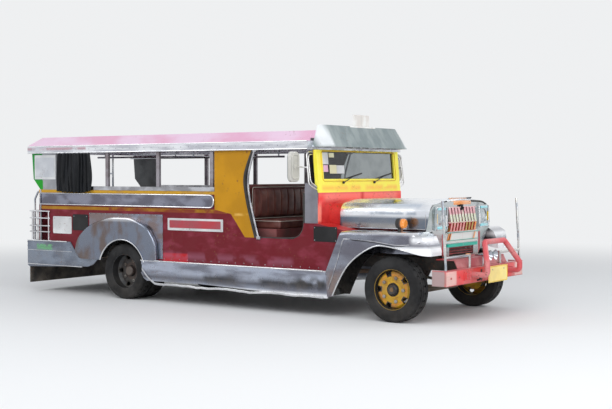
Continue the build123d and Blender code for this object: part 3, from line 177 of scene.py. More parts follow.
# rustSpots: small brown pits in clusters
rustSpots, given, result = newGroup("rustSpots", ["Colour", "Mask"], Place=origin, Colour=plainGrey, Amount=0.3,
                                    Scale=30.0)
feed, node, maths, ramp, blend, use = toolsFor(rustSpots)
pits = node("TexVoronoi", {"Vector": given["Place"], "Scale": given["Scale"]}).outputs["Distance"]
area, fine = [node("TexNoise", {"Vector": given["Place"], "Scale": scale, "Detail": detail}).outputs["Fac"]
              for scale, detail in ((3.2, 5), (60, 3))]
where = ramp(maths("ADD", area, maths("MULTIPLY", given["Amount"], 0.34)), 0.62, 0.80)
dots = maths("MULTIPLY", ramp(pits, 0.34, 0.12), where)
mask = maths("MULTIPLY", dots, ramp(fine, 0.3, 0.55), clamp=True)
rust = blend(fine, (0.10, 0.035, 0.018), (0.27, 0.10, 0.035))
feed(result["Colour"], blend(mask, given["Colour"], rust))
feed(result["Mask"], mask)

# roadDust: grey-brown film, thicker toward the road
roadDust, given, result = newGroup("roadDust", ["Colour", "Mask"], Place=origin, Colour=plainGrey, Amount=0.3, Top=0.9)
feed, node, maths, ramp, blend, use = toolsFor(roadDust)
height = node("SeparateXYZ", {0: given["Place"]}).outputs["Z"]
cloud = node("TexNoise", {"Vector": given["Place"], "Scale": 5.5, "Detail": 7, "Roughness": 0.62}).outputs["Fac"]
film = maths("MULTIPLY", ramp(height, given["Top"], 0.15, 0.12, 1.0), ramp(cloud, 0.33, 0.68))
mask = maths("MULTIPLY", film, given["Amount"], clamp=True)
feed(result["Colour"], blend(mask, given["Colour"], (0.20, 0.17, 0.14)))
feed(result["Mask"], mask)

# relief: dents and fine grain for a bump
relief, given, result = newGroup("relief", ["Height"], Place=origin, DentScale=3.0, DentDepth=0.5, GrainScale=90.0,
                                 GrainDepth=0.1)
feed, node, maths, ramp, blend, use = toolsFor(relief)
dents, grains = [maths("MULTIPLY", node("TexNoise", {"Vector": given["Place"], "Scale": given[label + "Scale"],
                                                     "Detail": detail}).outputs["Fac"], given[label + "Depth"])
                 for label, detail in (("Dent", 2), ("Grain", 4))]
feed(result["Height"], maths("ADD", dents, grains))
print("shader groups ready")

# colour and faded mix in patches; what a look leaves out is taken from here
plainLook = {"metal": 0.0, "rough": (0.35, 0.55), "patch": {}, "rust": 0.0, "rustScale": 30.0, "dust": 0.0,
             "dustTop": 1.0, "coat": 0.0, "coatRough": 0.1, "gloss": 0.5, "dent": (3.0, 0.3), "grain": (140.0, 0.05),
             "bump": 0.35, "bumpDepth": 0.02, "smudgeStretch": (1, 1, 1), "zones": (), "rings": ()}


# a box of another colour on a node, with |y| for both sides; thin wears it through in patches of that scale
def zone(low, high, colour, blur=0.003, **more):
    return dict(more, low=low, high=high, colour=colour, blur=blur)


def finishFrom(name, look):
    look = {**plainLook, **look}
    material = bpy.data.materials.new(name)
    material.use_nodes = True
    feed, node, maths, ramp, blend, use = toolsFor(material.node_tree)
    shader = material.node_tree.nodes["Principled BSDF"]
    spot = node("TexCoord").outputs["Object"]
    if "centre" in look:
        spot = node("Mapping", {"Vector": spot, "Location": [-value for value in look["centre"]]}).outputs[0]
    mask = use(patches, **{"Place": spot, "Scale": 3.0, "Detail": 5.0, "Low": 0.4, "High": 0.65, **look["patch"]})[0]
    colour, metal = blend(mask, look["colour"], look.get("faded", look["colour"])), look["metal"]
    if look["rings"] or look["zones"]:
        x, y, z = node("SeparateXYZ", {0: spot}).outputs
    if look["rings"]:  # rings of colour by the distance from the axle, and dark windows between the nuts, painted shade where the hand holes are
        reach = node("VectorMath", {0: node("CombineXYZ", {0: x, 2: z}).outputs[0]}, operation="LENGTH")
        wobble = maths("ADD", reach.outputs["Value"], maths("MULTIPLY", mask, 0.008))

        def band(near, far, soft):
            return maths("MULTIPLY", ramp(wobble, near - soft, near + soft), ramp(wobble, far + soft, far - soft))

        for near, far, ring in look["rings"]:
            colour = blend(band(near, far, 0.004), colour, ring)
        count, near, far, holeShadeColour = look["lobes"]
        turns = maths("COSINE", maths("ADD", maths("MULTIPLY", maths("ARCTAN2", z, x), float(count)), math.pi))
        colour = blend(maths("MULTIPLY", ramp(turns, 0.50, 0.64), band(near, far, 0.003)), colour, holeShadeColour)
    if look["zones"]:
        folded = node("CombineXYZ", {0: x, 1: maths("ABSOLUTE", y), 2: z}).outputs[0]
    for part in look["zones"]:
        box = use(inside, Place=folded, Lowest=part["low"], Highest=part["high"], Blur=part["blur"])[0]
        if "thin" in part:
            gaps = use(patches, Place=spot, Scale=part["thin"], Detail=6.0, Low=0.36, High=0.52)[0]
            box = maths("MULTIPLY", box, gaps)
        shade = blend(mask, part["colour"], part["faded"]) if "faded" in part else part["colour"]
        colour = blend(box, colour, shade)
        if "metal" in part:
            metal = node("Mix", {0: box, 2: metal, 3: part["metal"]}).outputs[0]
    wear = []
    if look["rust"]:
        colour, rusty = use(rustSpots, Place=spot, Colour=colour, Amount=look["rust"], Scale=look["rustScale"])
        wear.append(rusty)
    if look["dust"]:
        colour, dusty = use(roadDust, Place=spot, Colour=colour, Amount=look["dust"], Top=look["dustTop"])
        wear.append(dusty)
    smudge = use(patches, Place=spot, Scale=7.0, Detail=6.0, Low=0.3, High=0.7, Stretch=look["smudgeStretch"])[0]
    dull = ramp(smudge, 0.0, 1.0, *look["rough"])
    if wear:
        worn = maths("MAXIMUM", *wear) if len(wear) == 2 else wear[0]
        dull = maths("MAXIMUM", dull, maths("MULTIPLY", worn, 0.85))
        if look["metal"]:
            metal = maths("MULTIPLY", metal, maths("SUBTRACT", 1.0, worn), clamp=True)
    height = use(relief, Place=spot, DentScale=look["dent"][0], DentDepth=look["dent"][1],
                 GrainScale=look["grain"][0], GrainDepth=look["grain"][1])[0]
    bump = node("Bump", {"Strength": look["bump"], "Distance": look["bumpDepth"], "Height": height}).outputs[0]
    for label, value in (
            ("Base Color", colour), ("Roughness", dull), ("Metallic", metal), ("Coat Weight", look["coat"]),
            ("Coat Roughness", look["coatRough"]), ("Specular IOR Level", look["gloss"]), ("Normal", bump)):
        feed(shader.inputs[label], value)
    if "glow" in look:
        feed(shader.inputs["Emission Color"], look["glow"])
        feed(shader.inputs["Emission Strength"], look["glowStrength"])
    return material


yellow, deepYellow = (0.80, 0.45, 0.012), (0.66, 0.31, 0.010)
# the cabin's inside faces are painted dark grey as painted shade
cabinShade = (0.075, 0.08, 0.085)
chrome = dict(
    colour=(0.6, 0.62, 0.65), faded=(0.4, 0.43, 0.48), metal=1.0, rough=(0.1, 0.26),
    patch=dict(Scale=1.6, Stretch=(1, 1, 3), Low=0.42, High=0.62), dust=0.35, dustTop=1.0, dent=(2.2, 0.9),
    grain=(160.0, 0.01), bump=0.22)
bare = dict(
    chrome, colour=(0.42, 0.44, 0.5), faded=(0.25, 0.26, 0.3), rough=(0.22, 0.42), dust=0.5,
    patch=dict(Scale=3.5, Stretch=(1, 1, 2), Low=0.38, High=0.62), rust=0.15)
blackSteel = dict(
    colour=(0.018, 0.018, 0.019), faded=(0.05, 0.045, 0.04), rough=(0.55, 0.8), dust=0.75, dustTop=1.0, rust=0.5,
    grain=(70.0, 0.3), bump=0.5)
tanSteel = dict(
    colour=(0.15, 0.115, 0.075), faded=(0.06, 0.05, 0.04), rough=(0.6, 0.85), dust=0.8, rust=0.5, grain=(60.0, 0.4),
    bump=0.5)
nodeLooks = {
    "roof": dict(
        colour=(0.81, 0.59, 0.75), faded=(0.76, 0.42, 0.58), rough=(0.4, 0.62), gloss=0.4,
        patch=dict(Scale=1.3, Stretch=(1, 2.2, 1), Low=0.38, High=0.62), rust=0.2, dent=(2.4, 0.5),
        zones=[
            zone((0.5, 0.75, 2.09), (1.6, 1.2, 2.19), (0.82, 0.2, 0.33), 0.3, thin=3.4),
            zone((-3.52, 0, 2.07), (-3.25, 1.2, 2.4), (0.7, 0.52, 0.58), 0.2),
            # painted shade: the ceiling inside the roof is painted near black
            zone((-3.44, 0, 2.0), (1.5, 1.03, 2.128), (0.05, 0.05, 0.055), 0.01)]),
    "roof_band": dict(
        chrome, colour=(0.8, 0.82, 0.86), faded=(0.55, 0.56, 0.62), rough=(0.16, 0.36), dust=0.1,
        patch=dict(Scale=2.0, Stretch=(1, 1, 9), Low=0.36, High=0.62),
        zones=[
            zone((-1.1, 1.0, 2.0), (1.5, 1.2, 2.12), (0.4, 0.42, 0.47), 0.9, faded=(0.27, 0.28, 0.32)),
            zone((-3.52, 1.0, 2.02), (-2.3, 1.2, 2.075), (0.5, 0.33, 0.38), 0.02, metal=0.3, thin=4.0)]),
    "side_walls": dict(
        colour=(0.15, 0.006, 0.014), faded=(0.23, 0.026, 0.048), rough=(0.4, 0.62), gloss=0.25,
        patch=dict(Scale=5.5, Stretch=(0.8, 1, 1.6), Low=0.45, High=0.72), rust=0.3, rustScale=24.0, dust=0.14,
        dustTop=0.75, dent=(2.2, 0.7),
        zones=[
            zone((0.5, 1.0, 0.5), (2.1, 1.2, 1.2), (0.19, 0.01, 0.014), 0.5),
            zone((-0.9, 1.03, 0.5), (-0.45, 1.2, 0.665), (0.5, 0.012, 0.018), 0.02),
            zone((-0.95, 1.03, 0.545), (1.25, 1.2, 0.7), (0.36, 0.13, 0.2), 0.07, thin=4.5),
            zone((-2.05, 1.0, 0.4), (-1.12, 1.2, 0.83), (0.012, 0.012, 0.012)),
            zone((-3.4, 1.03, 1.427), (0.0, 1.2, 1.5), (0.6, 0.33, 0.02), faded=(0.44, 0.24, 0.06)),
            zone((-3.4, 1.03, 1.192), (0.2, 1.2, 1.24), (0.34, 0.14, 0.006), faded=(0.42, 0.21, 0.012)),
            zone((-1.9, 1.03, 1.18), (0.3, 1.2, 1.245), (0.22, 0.035, 0.012), 0.02, thin=5.0),
            # the inside faces, painted dark as painted shade
            zone((-3.4, 0, 0.4), (1.4, 1.035, 1.6), cabinShade)]),
    "door_pillars": dict(
        colour=(0.46, 0.215, 0.001), faded=(0.55, 0.26, 0.002), rough=(0.36, 0.55), gloss=0.3,
        patch=dict(Scale=2.5, Low=0.4, High=0.65), rust=0.55, rustScale=17.0, dent=(2.6, 0.6),
        zones=[
            # the inside faces, painted dark as painted shade
            zone((-0.1, 0, 0.8), (0.8, 1.035, 2.0), cabinShade),
            zone((0.1, 1.03, 1.16), (0.8, 1.2, 1.21), (0.85, 0.52, 0.12), 0.03, thin=5.0)]),
    "rear_corner_panels": dict(
        colour=(0.3, 0.31, 0.33), faded=(0.42, 0.43, 0.45), rough=(0.35, 0.55), metal=0.5, dent=(3.0, 0.3),
        zones=[
            zone((-3.5, 1.0, 1.5), (-3.22, 1.2, 2.0), (0.022, 0.26, 0.05)),
            zone((-3.5, 1.0, 1.46), (-3.21, 1.2, 1.6), (0.012, 0.33, 0.02)),
            # the inside faces, painted dark as painted shade
            zone((-3.5, 0, 1.4), (-2.9, 1.035, 2.0), cabinShade)]),
    "rear_panels": dict(
        colour=(0.125, 0.009, 0.017), faded=(0.2, 0.03, 0.05), rough=(0.35, 0.6), gloss=0.4, dust=0.35,
        patch=dict(Scale=4.0), rust=0.35,
        zones=[
            zone((-3.4, 0, 1.36), (-3.2, 1.2, 1.5), yellow, faded=deepYellow)]),
    "window_frames": dict(
        bare, colour=(0.55, 0.56, 0.6), faded=(0.3, 0.3, 0.32), dust=0.2,
        zones=[
            zone((-3, 0.9, 1.523), (0, 1.2, 2.0), (0.2, 0.17, 0.18), metal=0.4, faded=(0.32, 0.3, 0.33))]),
    "side_trim": dict(
        bare, colour=(0.27, 0.28, 0.35), faded=(0.15, 0.15, 0.19), dust=0.15,
        zones=[
            zone((-2.6, 1.0, 1.2), (-0.8, 1.2, 1.46), (0.4, 0.15, 0.25), 0.3, faded=(0.22, 0.15, 0.21), metal=0.6),
            zone((-2.3, 1.0, 0.5), (-0.85, 1.2, 1.16), (0.27, 0.3, 0.38), faded=(0.24, 0.19, 0.19))]),
    "rear_fenders": dict(
        # the dark colour is painted shade on the fenders' sides
        chrome, colour=(0.2, 0.225, 0.285), faded=(0.17, 0.135, 0.13), rough=(0.12, 0.3), dust=0.3,
        patch=dict(Scale=3.2, Stretch=(1.5, 1, 0.8), Low=0.45, High=0.66), dent=(3.4, 1.2), bump=0.3,
        zones=[
            # painted highlight along the top
            zone((-2.6, 0.9, 1.04), (-0.9, 1.2, 1.2), (0.72, 0.73, 0.76), 0.06),
            zone((-3, 0, 0), (0, 1.075, 1.09), (0.03, 0.03, 0.03), 0.002, metal=0.0)]),
    "quarter_panels": dict(
        bare, colour=(0.26, 0.3, 0.37), faded=(0.17, 0.19, 0.24), dust=0.3, smudgeStretch=(1, 1, 5),
        zones=[
            zone((-3.34, 1.0, 0.6), (-3.0, 1.2, 0.7), (0.16, 0.42, 0.22), 0.02, metal=0.3, thin=12.0),
            zone((-3.6, 0, 0.3), (-2, 1.045, 0.8), (0.05, 0.05, 0.05), metal=0)]),
    "running_boards": dict(
        bare, colour=(0.44, 0.48, 0.58), faded=(0.22, 0.23, 0.28), dent=(3.8, 1.4), bump=0.5, dust=0.35, dustTop=0.6,
        patch=dict(Scale=2.6, Stretch=(0.7, 1, 3.2), Low=0.42, High=0.66),
        zones=[
            zone((-1.3, 1.0, 0.27), (1.8, 1.2, 0.4), (0.1, 0.105, 0.13), 0.07, faded=(0.2, 0.2, 0.24)),
            zone((-1.3, 1.0, 0.2), (1.8, 1.2, 0.285), (0.86, 0.87, 0.91), 0.03),
            zone((-1.3, 1.0, 0.53), (1.8, 1.2, 0.56), (0.76, 0.77, 0.8), 0.01),
            zone((-0.2, 1.0, 0.28), (1.8, 1.2, 0.45), (0.045, 0.048, 0.06), 0.08, thin=3.0, metal=0.5),
            zone((1.25, 1.0, 0.28), (1.8, 1.2, 0.5), (0.02, 0.02, 0.022), 0.1, thin=6.0, metal=0.3)]),
    "cowl": dict(
        colour=(0.52, 0.014, 0.016), faded=(0.68, 0.05, 0.044), rough=(0.3, 0.5), gloss=0.45, dust=0.2, dustTop=1.1,
        patch=dict(Scale=3.4, Low=0.42, High=0.68), rust=0.4, dent=(2.6, 0.5),
        zones=[
            # the next three zones are painted light: a lit edge by the door, a bright top and bright upper sides; the
            # fourth paints the cab's inside near black as painted shade
            zone((1.45, 0.9, 1.1), (1.62, 1.2, 1.47), (1.0, 0.27, 0.2), 0.03),
            zone((1.45, 0, 1.34), (2.2, 1.2, 1.5), (1.0, 0.22, 0.18), 0.06),
            zone((1.4, 0.8, 1.28), (2.0, 1.2, 1.5), (0.95, 0.045, 0.04), 0.1),
            zone((1.0, 0, 0.5), (1.535, 0.93, 1.75), (0.06, 0.06, 0.065)),
            zone((1.2, 0.93, 1.075), (1.528, 1.2, 1.75), (0.27, 0.27, 0.31), 0.006, metal=0.45, faded=(0.2, 0.2,
                0.23))]),
    "windscreen_frame": dict(
        colour=(1.0, 0.9, 0.07), faded=(1.0, 0.76, 0.05), rough=(0.28, 0.45), coat=0.3,
        patch=dict(Scale=4.0, Low=0.48, High=0.75), rust=0.3, rustScale=40.0,
        zones=[
            zone((1.4, 0, 1.47), (1.6, 0.9, 1.57), (1.0, 0.58, 0.06), 0.05, thin=5.0),
            # painted shade: the frame's faces behind the glass are painted a darker yellow
            zone((1.2, 0, 1.4), (1.455, 1.0, 2.0), (0.5, 0.3, 0.02), 0.01)]),
    "visor": dict(
        colour=(0.3, 0.345, 0.35), faded=(0.22, 0.265, 0.272), rough=(0.4, 0.6), metal=0.3, gloss=0.3,
        dent=(3.0, 0.6), patch=dict(Scale=4.5, Stretch=(1, 1.5, 0.7), Low=0.4, High=0.62), rust=0.2, dust=0.1,
        dustTop=3.0,
        zones=[
            # painted highlight on the rounded near end
            zone((1.4, 0.8, 2.0), (1.75, 0.965, 2.4), (0.68, 0.71, 0.73), 0.05),
            zone((1.4, 0.972, 2.0), (1.75, 1.05, 2.42), (0.58, 0.62, 0.68), 0.006, metal=0.6),
            zone((1.4, 0, 2.27), (1.75, 0.3, 2.5), (0.86, 0.86, 0.84), faded=(0.74, 0.7, 0.66))]),
    "hood": dict(
        chrome, colour=(0.93, 0.95, 0.98), faded=(0.74, 0.77, 0.83), rough=(0.16, 0.3), dust=0.12, dustTop=1.6,
        zones=[
            # painted shade: the sides darker than the bright top
            zone((1.6, 0.66, 1.0), (3.0, 0.8, 1.208), (0.13, 0.17, 0.235), 0.04, faded=(0.22, 0.24, 0.28)),
            zone((1.7, 0.7, 1.03), (2.6, 0.8, 1.125), (0.52, 0.5, 0.48), 0.035, faded=(0.34, 0.33, 0.33)),
            # painted highlight: a lighter band under the shoulder
            zone((2.1, 0.66, 1.2), (2.75, 0.8, 1.262), (0.42, 0.47, 0.55), 0.03, thin=4.0),
            zone((1.6, 0, 1.262), (2.28, 0.76, 1.5), (0.56, 0.62, 0.7), 0.14, metal=0.1),
            zone((2.2, 0.3, 1.28), (2.8, 0.75, 1.37), (0.55, 0.62, 0.72), 0.05, thin=2.2)]),
    "front_fenders": dict(
        # the dark colour is painted shade on the wings' sides
        chrome, colour=(0.28, 0.3, 0.36), faded=(0.17, 0.17, 0.21), rough=(0.12, 0.3), dust=0.3, dent=(3.0, 1.0),
        bump=0.3,
        zones=[
            zone((1.7, 0, 0.2), (3.3, 1.109, 0.74), (0.014, 0.014, 0.015), 0.002, metal=0.0),
            # painted highlight on the crown, then painted light brightening the nose
            zone((1.9, 0.5, 0.992), (3.2, 1.2, 1.1), (0.8, 0.81, 0.84), 0.03),
            zone((2.66, 0.5, 0.6), (3.3, 1.2, 0.888), (0.96, 0.97, 1.0), 0.04, metal=0.1),
            zone((2.86, 0.5, 0.88), (3.3, 1.2, 1.02), (0.86, 0.87, 0.9), 0.06, metal=0.35),
            zone((1.7, 0.9, 0.2), (2.1, 1.2, 0.6), (0.22, 0.13, 0.09), 0.12, thin=7.0, metal=0.3)]),
    "grille_shell": dict(
        chrome, colour=(0.6, 0.63, 0.64), faded=(0.42, 0.48, 0.48), dust=0.3, dustTop=1.4,
        zones=[
            zone((2.8, 0.43, 0.7), (3.0, 0.5, 1.0), (0.42, 0.03, 0.04), 0.02, metal=0.1)]),
    "grille_bars": dict(
        colour=(0.72, 0.36, 0.38), faded=(0.8, 0.66, 0.62), rough=(0.3, 0.5), coat=0.2, patch=dict(Scale=12.0),
        zones=[
            zone((2.9, 0, 1.12), (3, 0.5, 1.222), (0.82, 0.84, 0.78), 0.05, faded=(0.6, 0.66, 0.46)),
            zone((2.9, 0, 1.005), (3, 0.5, 1.116), (0.66, 0.07, 0.09), 0.008, faded=(0.33, 0.22, 0.04)),
            zone((2.9, 0, 0.875), (3, 0.5, 1.005), (0.76, 0.79, 0.77)),
            zone((2.9, 0, 0.826), (3, 0.5, 0.875), (0.01, 0.5, 0.37)),
            zone((2.9, 0, 0.7), (3, 0.5, 0.825), (0.012, 0.012, 0.012), faded=(0.16, 0.02, 0.025))]),
    "headlamps": dict(chrome, colour=(0.55, 0.6, 0.62), faded=(0.45, 0.5, 0.52), dust=0.1),
    "front_bumper": dict(
        colour=(0.8, 0.06, 0.065), faded=(0.72, 0.15, 0.15), rough=(0.32, 0.55), coat=0.2,
        patch=dict(Scale=3.2, Low=0.42, High=0.66), rust=0.35, dust=0.3, dustTop=0.8,
        zones=[
            zone((2.9, 0.74, 0.42), (3.3, 1.05, 0.63), (0.46, 0.29, 0.27), 0.06, faded=(0.32, 0.17, 0.16)),
            # painted highlight on the front of the bumper's ends
            zone((3.26, 0.75, 0.4), (3.4, 1.05, 0.64), (1.0, 0.84, 0.76), 0.04),
            zone((2.9, 0.94, 0.4), (3.25, 1.05, 0.64), (0.42, 0.29, 0.29), 0.01),
            zone((3.0, 0, 0.6), (3.31, 1.0, 0.72), (0.5, 0.09, 0.11), faded=(0.58, 0.22, 0.22)),
            zone((3.31, 0, 0.4), (3.6, 0.8, 1.0), (0.66, 0.085, 0.1), faded=(0.66, 0.21, 0.21))]),
    "corner_poles": dict(chrome, colour=(0.7, 0.7, 0.68), rust=0.2),
    "horns": dict(chrome, rough=(0.05, 0.15), dust=0.1),
    "number_plate": dict(
        colour=(1.0, 0.82, 0.28), faded=(0.92, 0.7, 0.22), rough=(0.35, 0.5), coat=0.2, dust=0.2,
        zones=[
            zone((3.2, 0, 0.4), (3.419, 0.3, 0.7), (0.05, 0.03, 0.03))]),
    "mirrors": dict(
        colour=(0.6, 0.59, 0.55), faded=(0.44, 0.43, 0.39), rough=(0.35, 0.5), coat=0.2, dust=0.15, dustTop=3.0,
        zones=[
            zone((1.37, 0.9, 1.4), (1.6, 1.14, 2.0), (0.72, 0.72, 0.72), metal=1.0),
            zone((1.3, 1.0, 1.6), (1.326, 1.32, 1.96), (0.3, 0.33, 0.36), 0.002)]),
    "marker_lamps": dict(
        colour=(0.8, 0.26, 0.02), faded=(0.7, 0.2, 0.02), rough=(0.12, 0.25), coat=0.8, grain=(0.1, 0.0),
        glow=(1.0, 0.3, 0.02), glowStrength=0.12,
        zones=[
            zone((-4, 0, 0.5), (-3, 1.2, 1.3), (0.45, 0.008, 0.01)),
            zone((2.4, 0.5, 0.9), (2.628, 1.2, 1.3), (0.012, 0.012, 0.013)),
            zone((2.4, 0.5, 0.9), (2.8, 1.2, 1.066), (0.012, 0.012, 0.013))]),
    "corner_cages": dict(chrome, colour=(0.78, 0.79, 0.82), faded=(0.6, 0.6, 0.62), dust=0.2),
    "grab_rails": dict(chrome, colour=(0.62, 0.63, 0.65)),
    "rear_step": dict(
        blackSteel,
        zones=[
            zone((-3.6, 0, 0.5), (-3.2, 0.5, 0.6), (0.2, 0.2, 0.21), thin=9.0)]),
    "floor": dict(
        colour=(0.13, 0.13, 0.14), faded=(0.19, 0.17, 0.15), rough=(0.4, 0.7), metal=0.5, dust=0.5, dustTop=1.2,
        grain=(40.0, 0.6), bump=0.6),
    "seat_frames": dict(
        colour=(0.21, 0.05, 0.05), faded=(0.14, 0.05, 0.05), rough=(0.4, 0.6), coat=0.1, rust=0.3, dust=0.4,
        dustTop=1.2),
    "dashboard": dict(
        colour=(0.055, 0.055, 0.06), faded=(0.08, 0.08, 0.085), rough=(0.45, 0.65), grain=(220.0, 0.25), dust=0.15,
        dustTop=2.0),
    "steering_wheel": dict(
        colour=(0.02, 0.02, 0.02), faded=(0.05, 0.045, 0.04), rough=(0.3, 0.55), coat=0.2),
    "chassis_frame": blackSteel,
    "engine_block": dict(blackSteel, colour=(0.06, 0.055, 0.05)),
    "leaf_springs": tanSteel,
    "front_axle_beam": tanSteel,
    "knuckle_right": tanSteel,
    "knuckle_left": tanSteel,
    "tie_rod": blackSteel,
    "rear_axle": blackSteel,
    "fuel_tank": dict(blackSteel, colour=(0.04, 0.04, 0.045)),
    "exhaust": dict(blackSteel, colour=(0.14, 0.08, 0.05), faded=(0.08, 0.06, 0.05), rust=0.8),
    "radiator": dict(
        blackSteel, colour=(0.01, 0.01, 0.011), faded=(0.06, 0.01, 0.01), patch=dict(Scale=3.0, Stretch=(1, 1, 9))),
}
rubberLook = dict(
    colour=(0.014, 0.014, 0.015), faded=(0.026, 0.026, 0.027), rough=(0.62, 0.85), gloss=0.22, dust=0.11,
    dustTop=0.36, grain=(110.0, 0.2), bump=0.35, patch=dict(Scale=6.0))

# wheels are painted in rings: inner radius, outer radius, colour
wheelLooks = {
    "front": dict(
        colour=(0.52, 0.29, 0.004), faded=(0.38, 0.165, 0.008),
        rings=[(0.0, 0.024, (0.17, 0.085, 0.03)), (0.024, 0.078, (0.010, 0.010, 0.011)),
               (0.078, 0.10, (0.62, 0.34, 0.012)), (0.166, 0.184, (0.58, 0.22, 0.010)),
               (0.214, 0.228, (0.10, 0.05, 0.02)), (0.228, 0.241, (0.55, 0.33, 0.02)),
               (0.243, 0.27, (0.05, 0.04, 0.03))]),
    "rear": dict(
        colour=(0.022, 0.022, 0.025), faded=(0.05, 0.045, 0.045),
        rings=[(0.0, 0.06, (0.10, 0.08, 0.07)), (0.06, 0.12, (0.06, 0.04, 0.035)),
               # the bluish outer ring is painted sheen
               (0.205, 0.27, (0.035, 0.04, 0.045))])}
axles = {"front": 2.62, "rear": -1.585, "height": 0.375}
for name in ("wheel_front_right", "wheel_front_left", "wheels_rear_right", "wheels_rear_left"):
    end = name.split("_")[1]
    nodeLooks[name] = dict(
        wheelLooks[end], centre=(axles[end], 0, axles["height"]), patch=dict(Scale=9.0, Low=0.45, High=0.62),
        # the lobes are dark windows of painted shade round the hand holes
        rough=(0.4, 0.65), rustScale=50.0, rust=0.45, lobes=(5, 0.152, 0.226, (0.010, 0.008, 0.007)), dust=0.2,
        dustTop=0.5, bump=0.4)


def clearGlass():
    glass = bpy.data.materials.new("screenGlass")
    glass.use_nodes = True
    feed, node, maths, ramp, blend, use = toolsFor(glass.node_tree)
    inputs = glass.node_tree.nodes["Principled BSDF"].inputs
    film = use(patches, Place=node("TexCoord").outputs["Object"], Scale=5.0, Low=0.35, High=0.75)[0]
    for label, value in (("Transmission Weight", 1.0), ("IOR", 1.45), ("Roughness", ramp(film, 0.0, 1.0, 0.0, 0.035)),
                         ("Base Color", blend(film, (0.30, 0.33, 0.335), (0.22, 0.245, 0.25)))):
        feed(inputs[label], value)
    return glass


def dressNodes():
    for name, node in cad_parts.items():
        if name not in nodeLooks and name != "windscreen_glass":
            print("left to its own piece:", name)
            continue
        node.data.materials.clear()
        finish = finishFrom(name + "_finish", nodeLooks[name]) if name in nodeLooks else clearGlass()
        node.data.materials.append(finish)
    print("finishes on the nodes")


dressNodes()


# hand tools: leaves edit mode and selects only these pieces, the first one active
def pick(*pieces):
    if bpy.context.object and bpy.context.object.mode != "OBJECT":
        bpy.ops.object.mode_set(mode="OBJECT")
    bpy.ops.object.select_all(action="DESELECT")
    for piece in pieces:
        piece.select_set(True)
    if pieces:
        bpy.context.view_layer.objects.active = pieces[0]


def applyPlace():
    bpy.ops.object.transform_apply(location=True, rotation=True, scale=True)
    return bpy.context.object


def joinAll(parts):
    pick(*parts)
    if len(parts) > 1:
        bpy.ops.object.join()
    return bpy.context.object


# a copy with its own mesh, mirrored across the middle if asked, and moved
def copyOf(piece, move=(0, 0, 0), mirror=False):
    pick()
    twin = piece.copy()
    twin.data = piece.data.copy()
    bpy.context.collection.objects.link(twin)
    if mirror:
        twin.data.transform(Matrix.Scale(-1, 4, (0, 1, 0)))
        twin.data.flip_normals()
    twin.data.transform(Matrix.Translation(move))
    return twin


# joins the parts, names the piece, and gives it its finish and its body
def settle(parts, name, finish, body="vehicle", smooth=35):
    piece = joinAll(parts)
    applyPlace()
    if smooth:
        bpy.ops.object.shade_smooth_by_angle(angle=math.radians(smooth))
    piece.name = piece.data.name = name
    piece.data.materials.clear()
    piece.data.materials.append(finishes[finish])
    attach(piece, body)
    return piece


# one piece as modelled on the right side, and its mirror on the left, in one mesh
def bothSides(parts, name, finish, body="vehicle", smooth=35):
    piece = joinAll(parts)
    applyPlace()
    return settle([piece, copyOf(piece, mirror=True)], name, finish, body, smooth)


def useModifier(piece, kind, **values):
    pick(piece)
    modifier = piece.modifiers.new(kind.lower(), kind)
    for label, value in values.items():
        setattr(modifier, label, value)
    bpy.ops.object.modifier_apply(modifier=modifier.name)
    return piece


# goes into edit mode with the faces selected whose middle and normal pass the test
def pickFaces(piece, test):
    pick(piece)
    bpy.ops.object.mode_set(mode="EDIT")
    bpy.ops.mesh.select_mode(type="FACE")
    bpy.ops.mesh.select_all(action="DESELECT")
    bpy.ops.object.mode_set(mode="OBJECT")
    for face in piece.data.polygons:
        face.select = test(face.center, face.normal)
    bpy.ops.object.mode_set(mode="EDIT")


# rounds the corners of a thin block: the edges that run through it along one axis
def roundCorners(piece, axis, offset, segments):
    pick(piece)
    bpy.ops.object.mode_set(mode="EDIT")
    bpy.ops.mesh.select_mode(type="EDGE")
    bpy.ops.mesh.select_all(action="DESELECT")
    bpy.ops.object.mode_set(mode="OBJECT")
    for edge in piece.data.edges:
        first, second = [piece.data.vertices[end].co for end in edge.vertices]
        edge.select = abs(first[axis] - second[axis]) > 0.001
    bpy.ops.object.mode_set(mode="EDIT")
    bpy.ops.mesh.bevel(offset=offset, segments=segments)
    pick()


# cuts an open mesh across, once at each place along an axis
def cutAcross(axis, places):
    normal = [float(way == axis) for way in range(3)]
    for place in places:
        bpy.ops.mesh.select_all(action="SELECT")
        bpy.ops.mesh.bisect(plane_co=[place * part for part in normal], plane_no=normal)


def addBlock(low, high, round=0.003, steps=2):
    pick()
    bpy.ops.mesh.primitive_cube_add(size=1, location=[(a + b) / 2 for a, b in zip(low, high)])
    bpy.context.object.scale = [abs(b - a) for a, b in zip(low, high)]
    piece = applyPlace()
    if round:
        useModifier(piece, "BEVEL", width=round, segments=steps, limit_method="ANGLE")
    return piece


def addRod(start, end, radius, sides=18, round=0.0):
    pick()
    start, end = Vector(start), Vector(end)
    bpy.ops.mesh.primitive_cylinder_add(
        vertices=sides, radius=radius, depth=(end - start).length, location=(start + end) / 2,
        rotation=(end - start).to_track_quat("Z", "Y").to_euler())
    piece = applyPlace()
    if round:
        useModifier(piece, "BEVEL", width=round, segments=2, limit_method="ANGLE")
    return piece


# a six-sided bolt head that faces forward
def addBolt(place, radius, depth):
    bpy.ops.mesh.primitive_cylinder_add(vertices=6, radius=radius, depth=depth, location=place,
                                        rotation=(0, math.radians(90), 0))
    return bpy.context.object


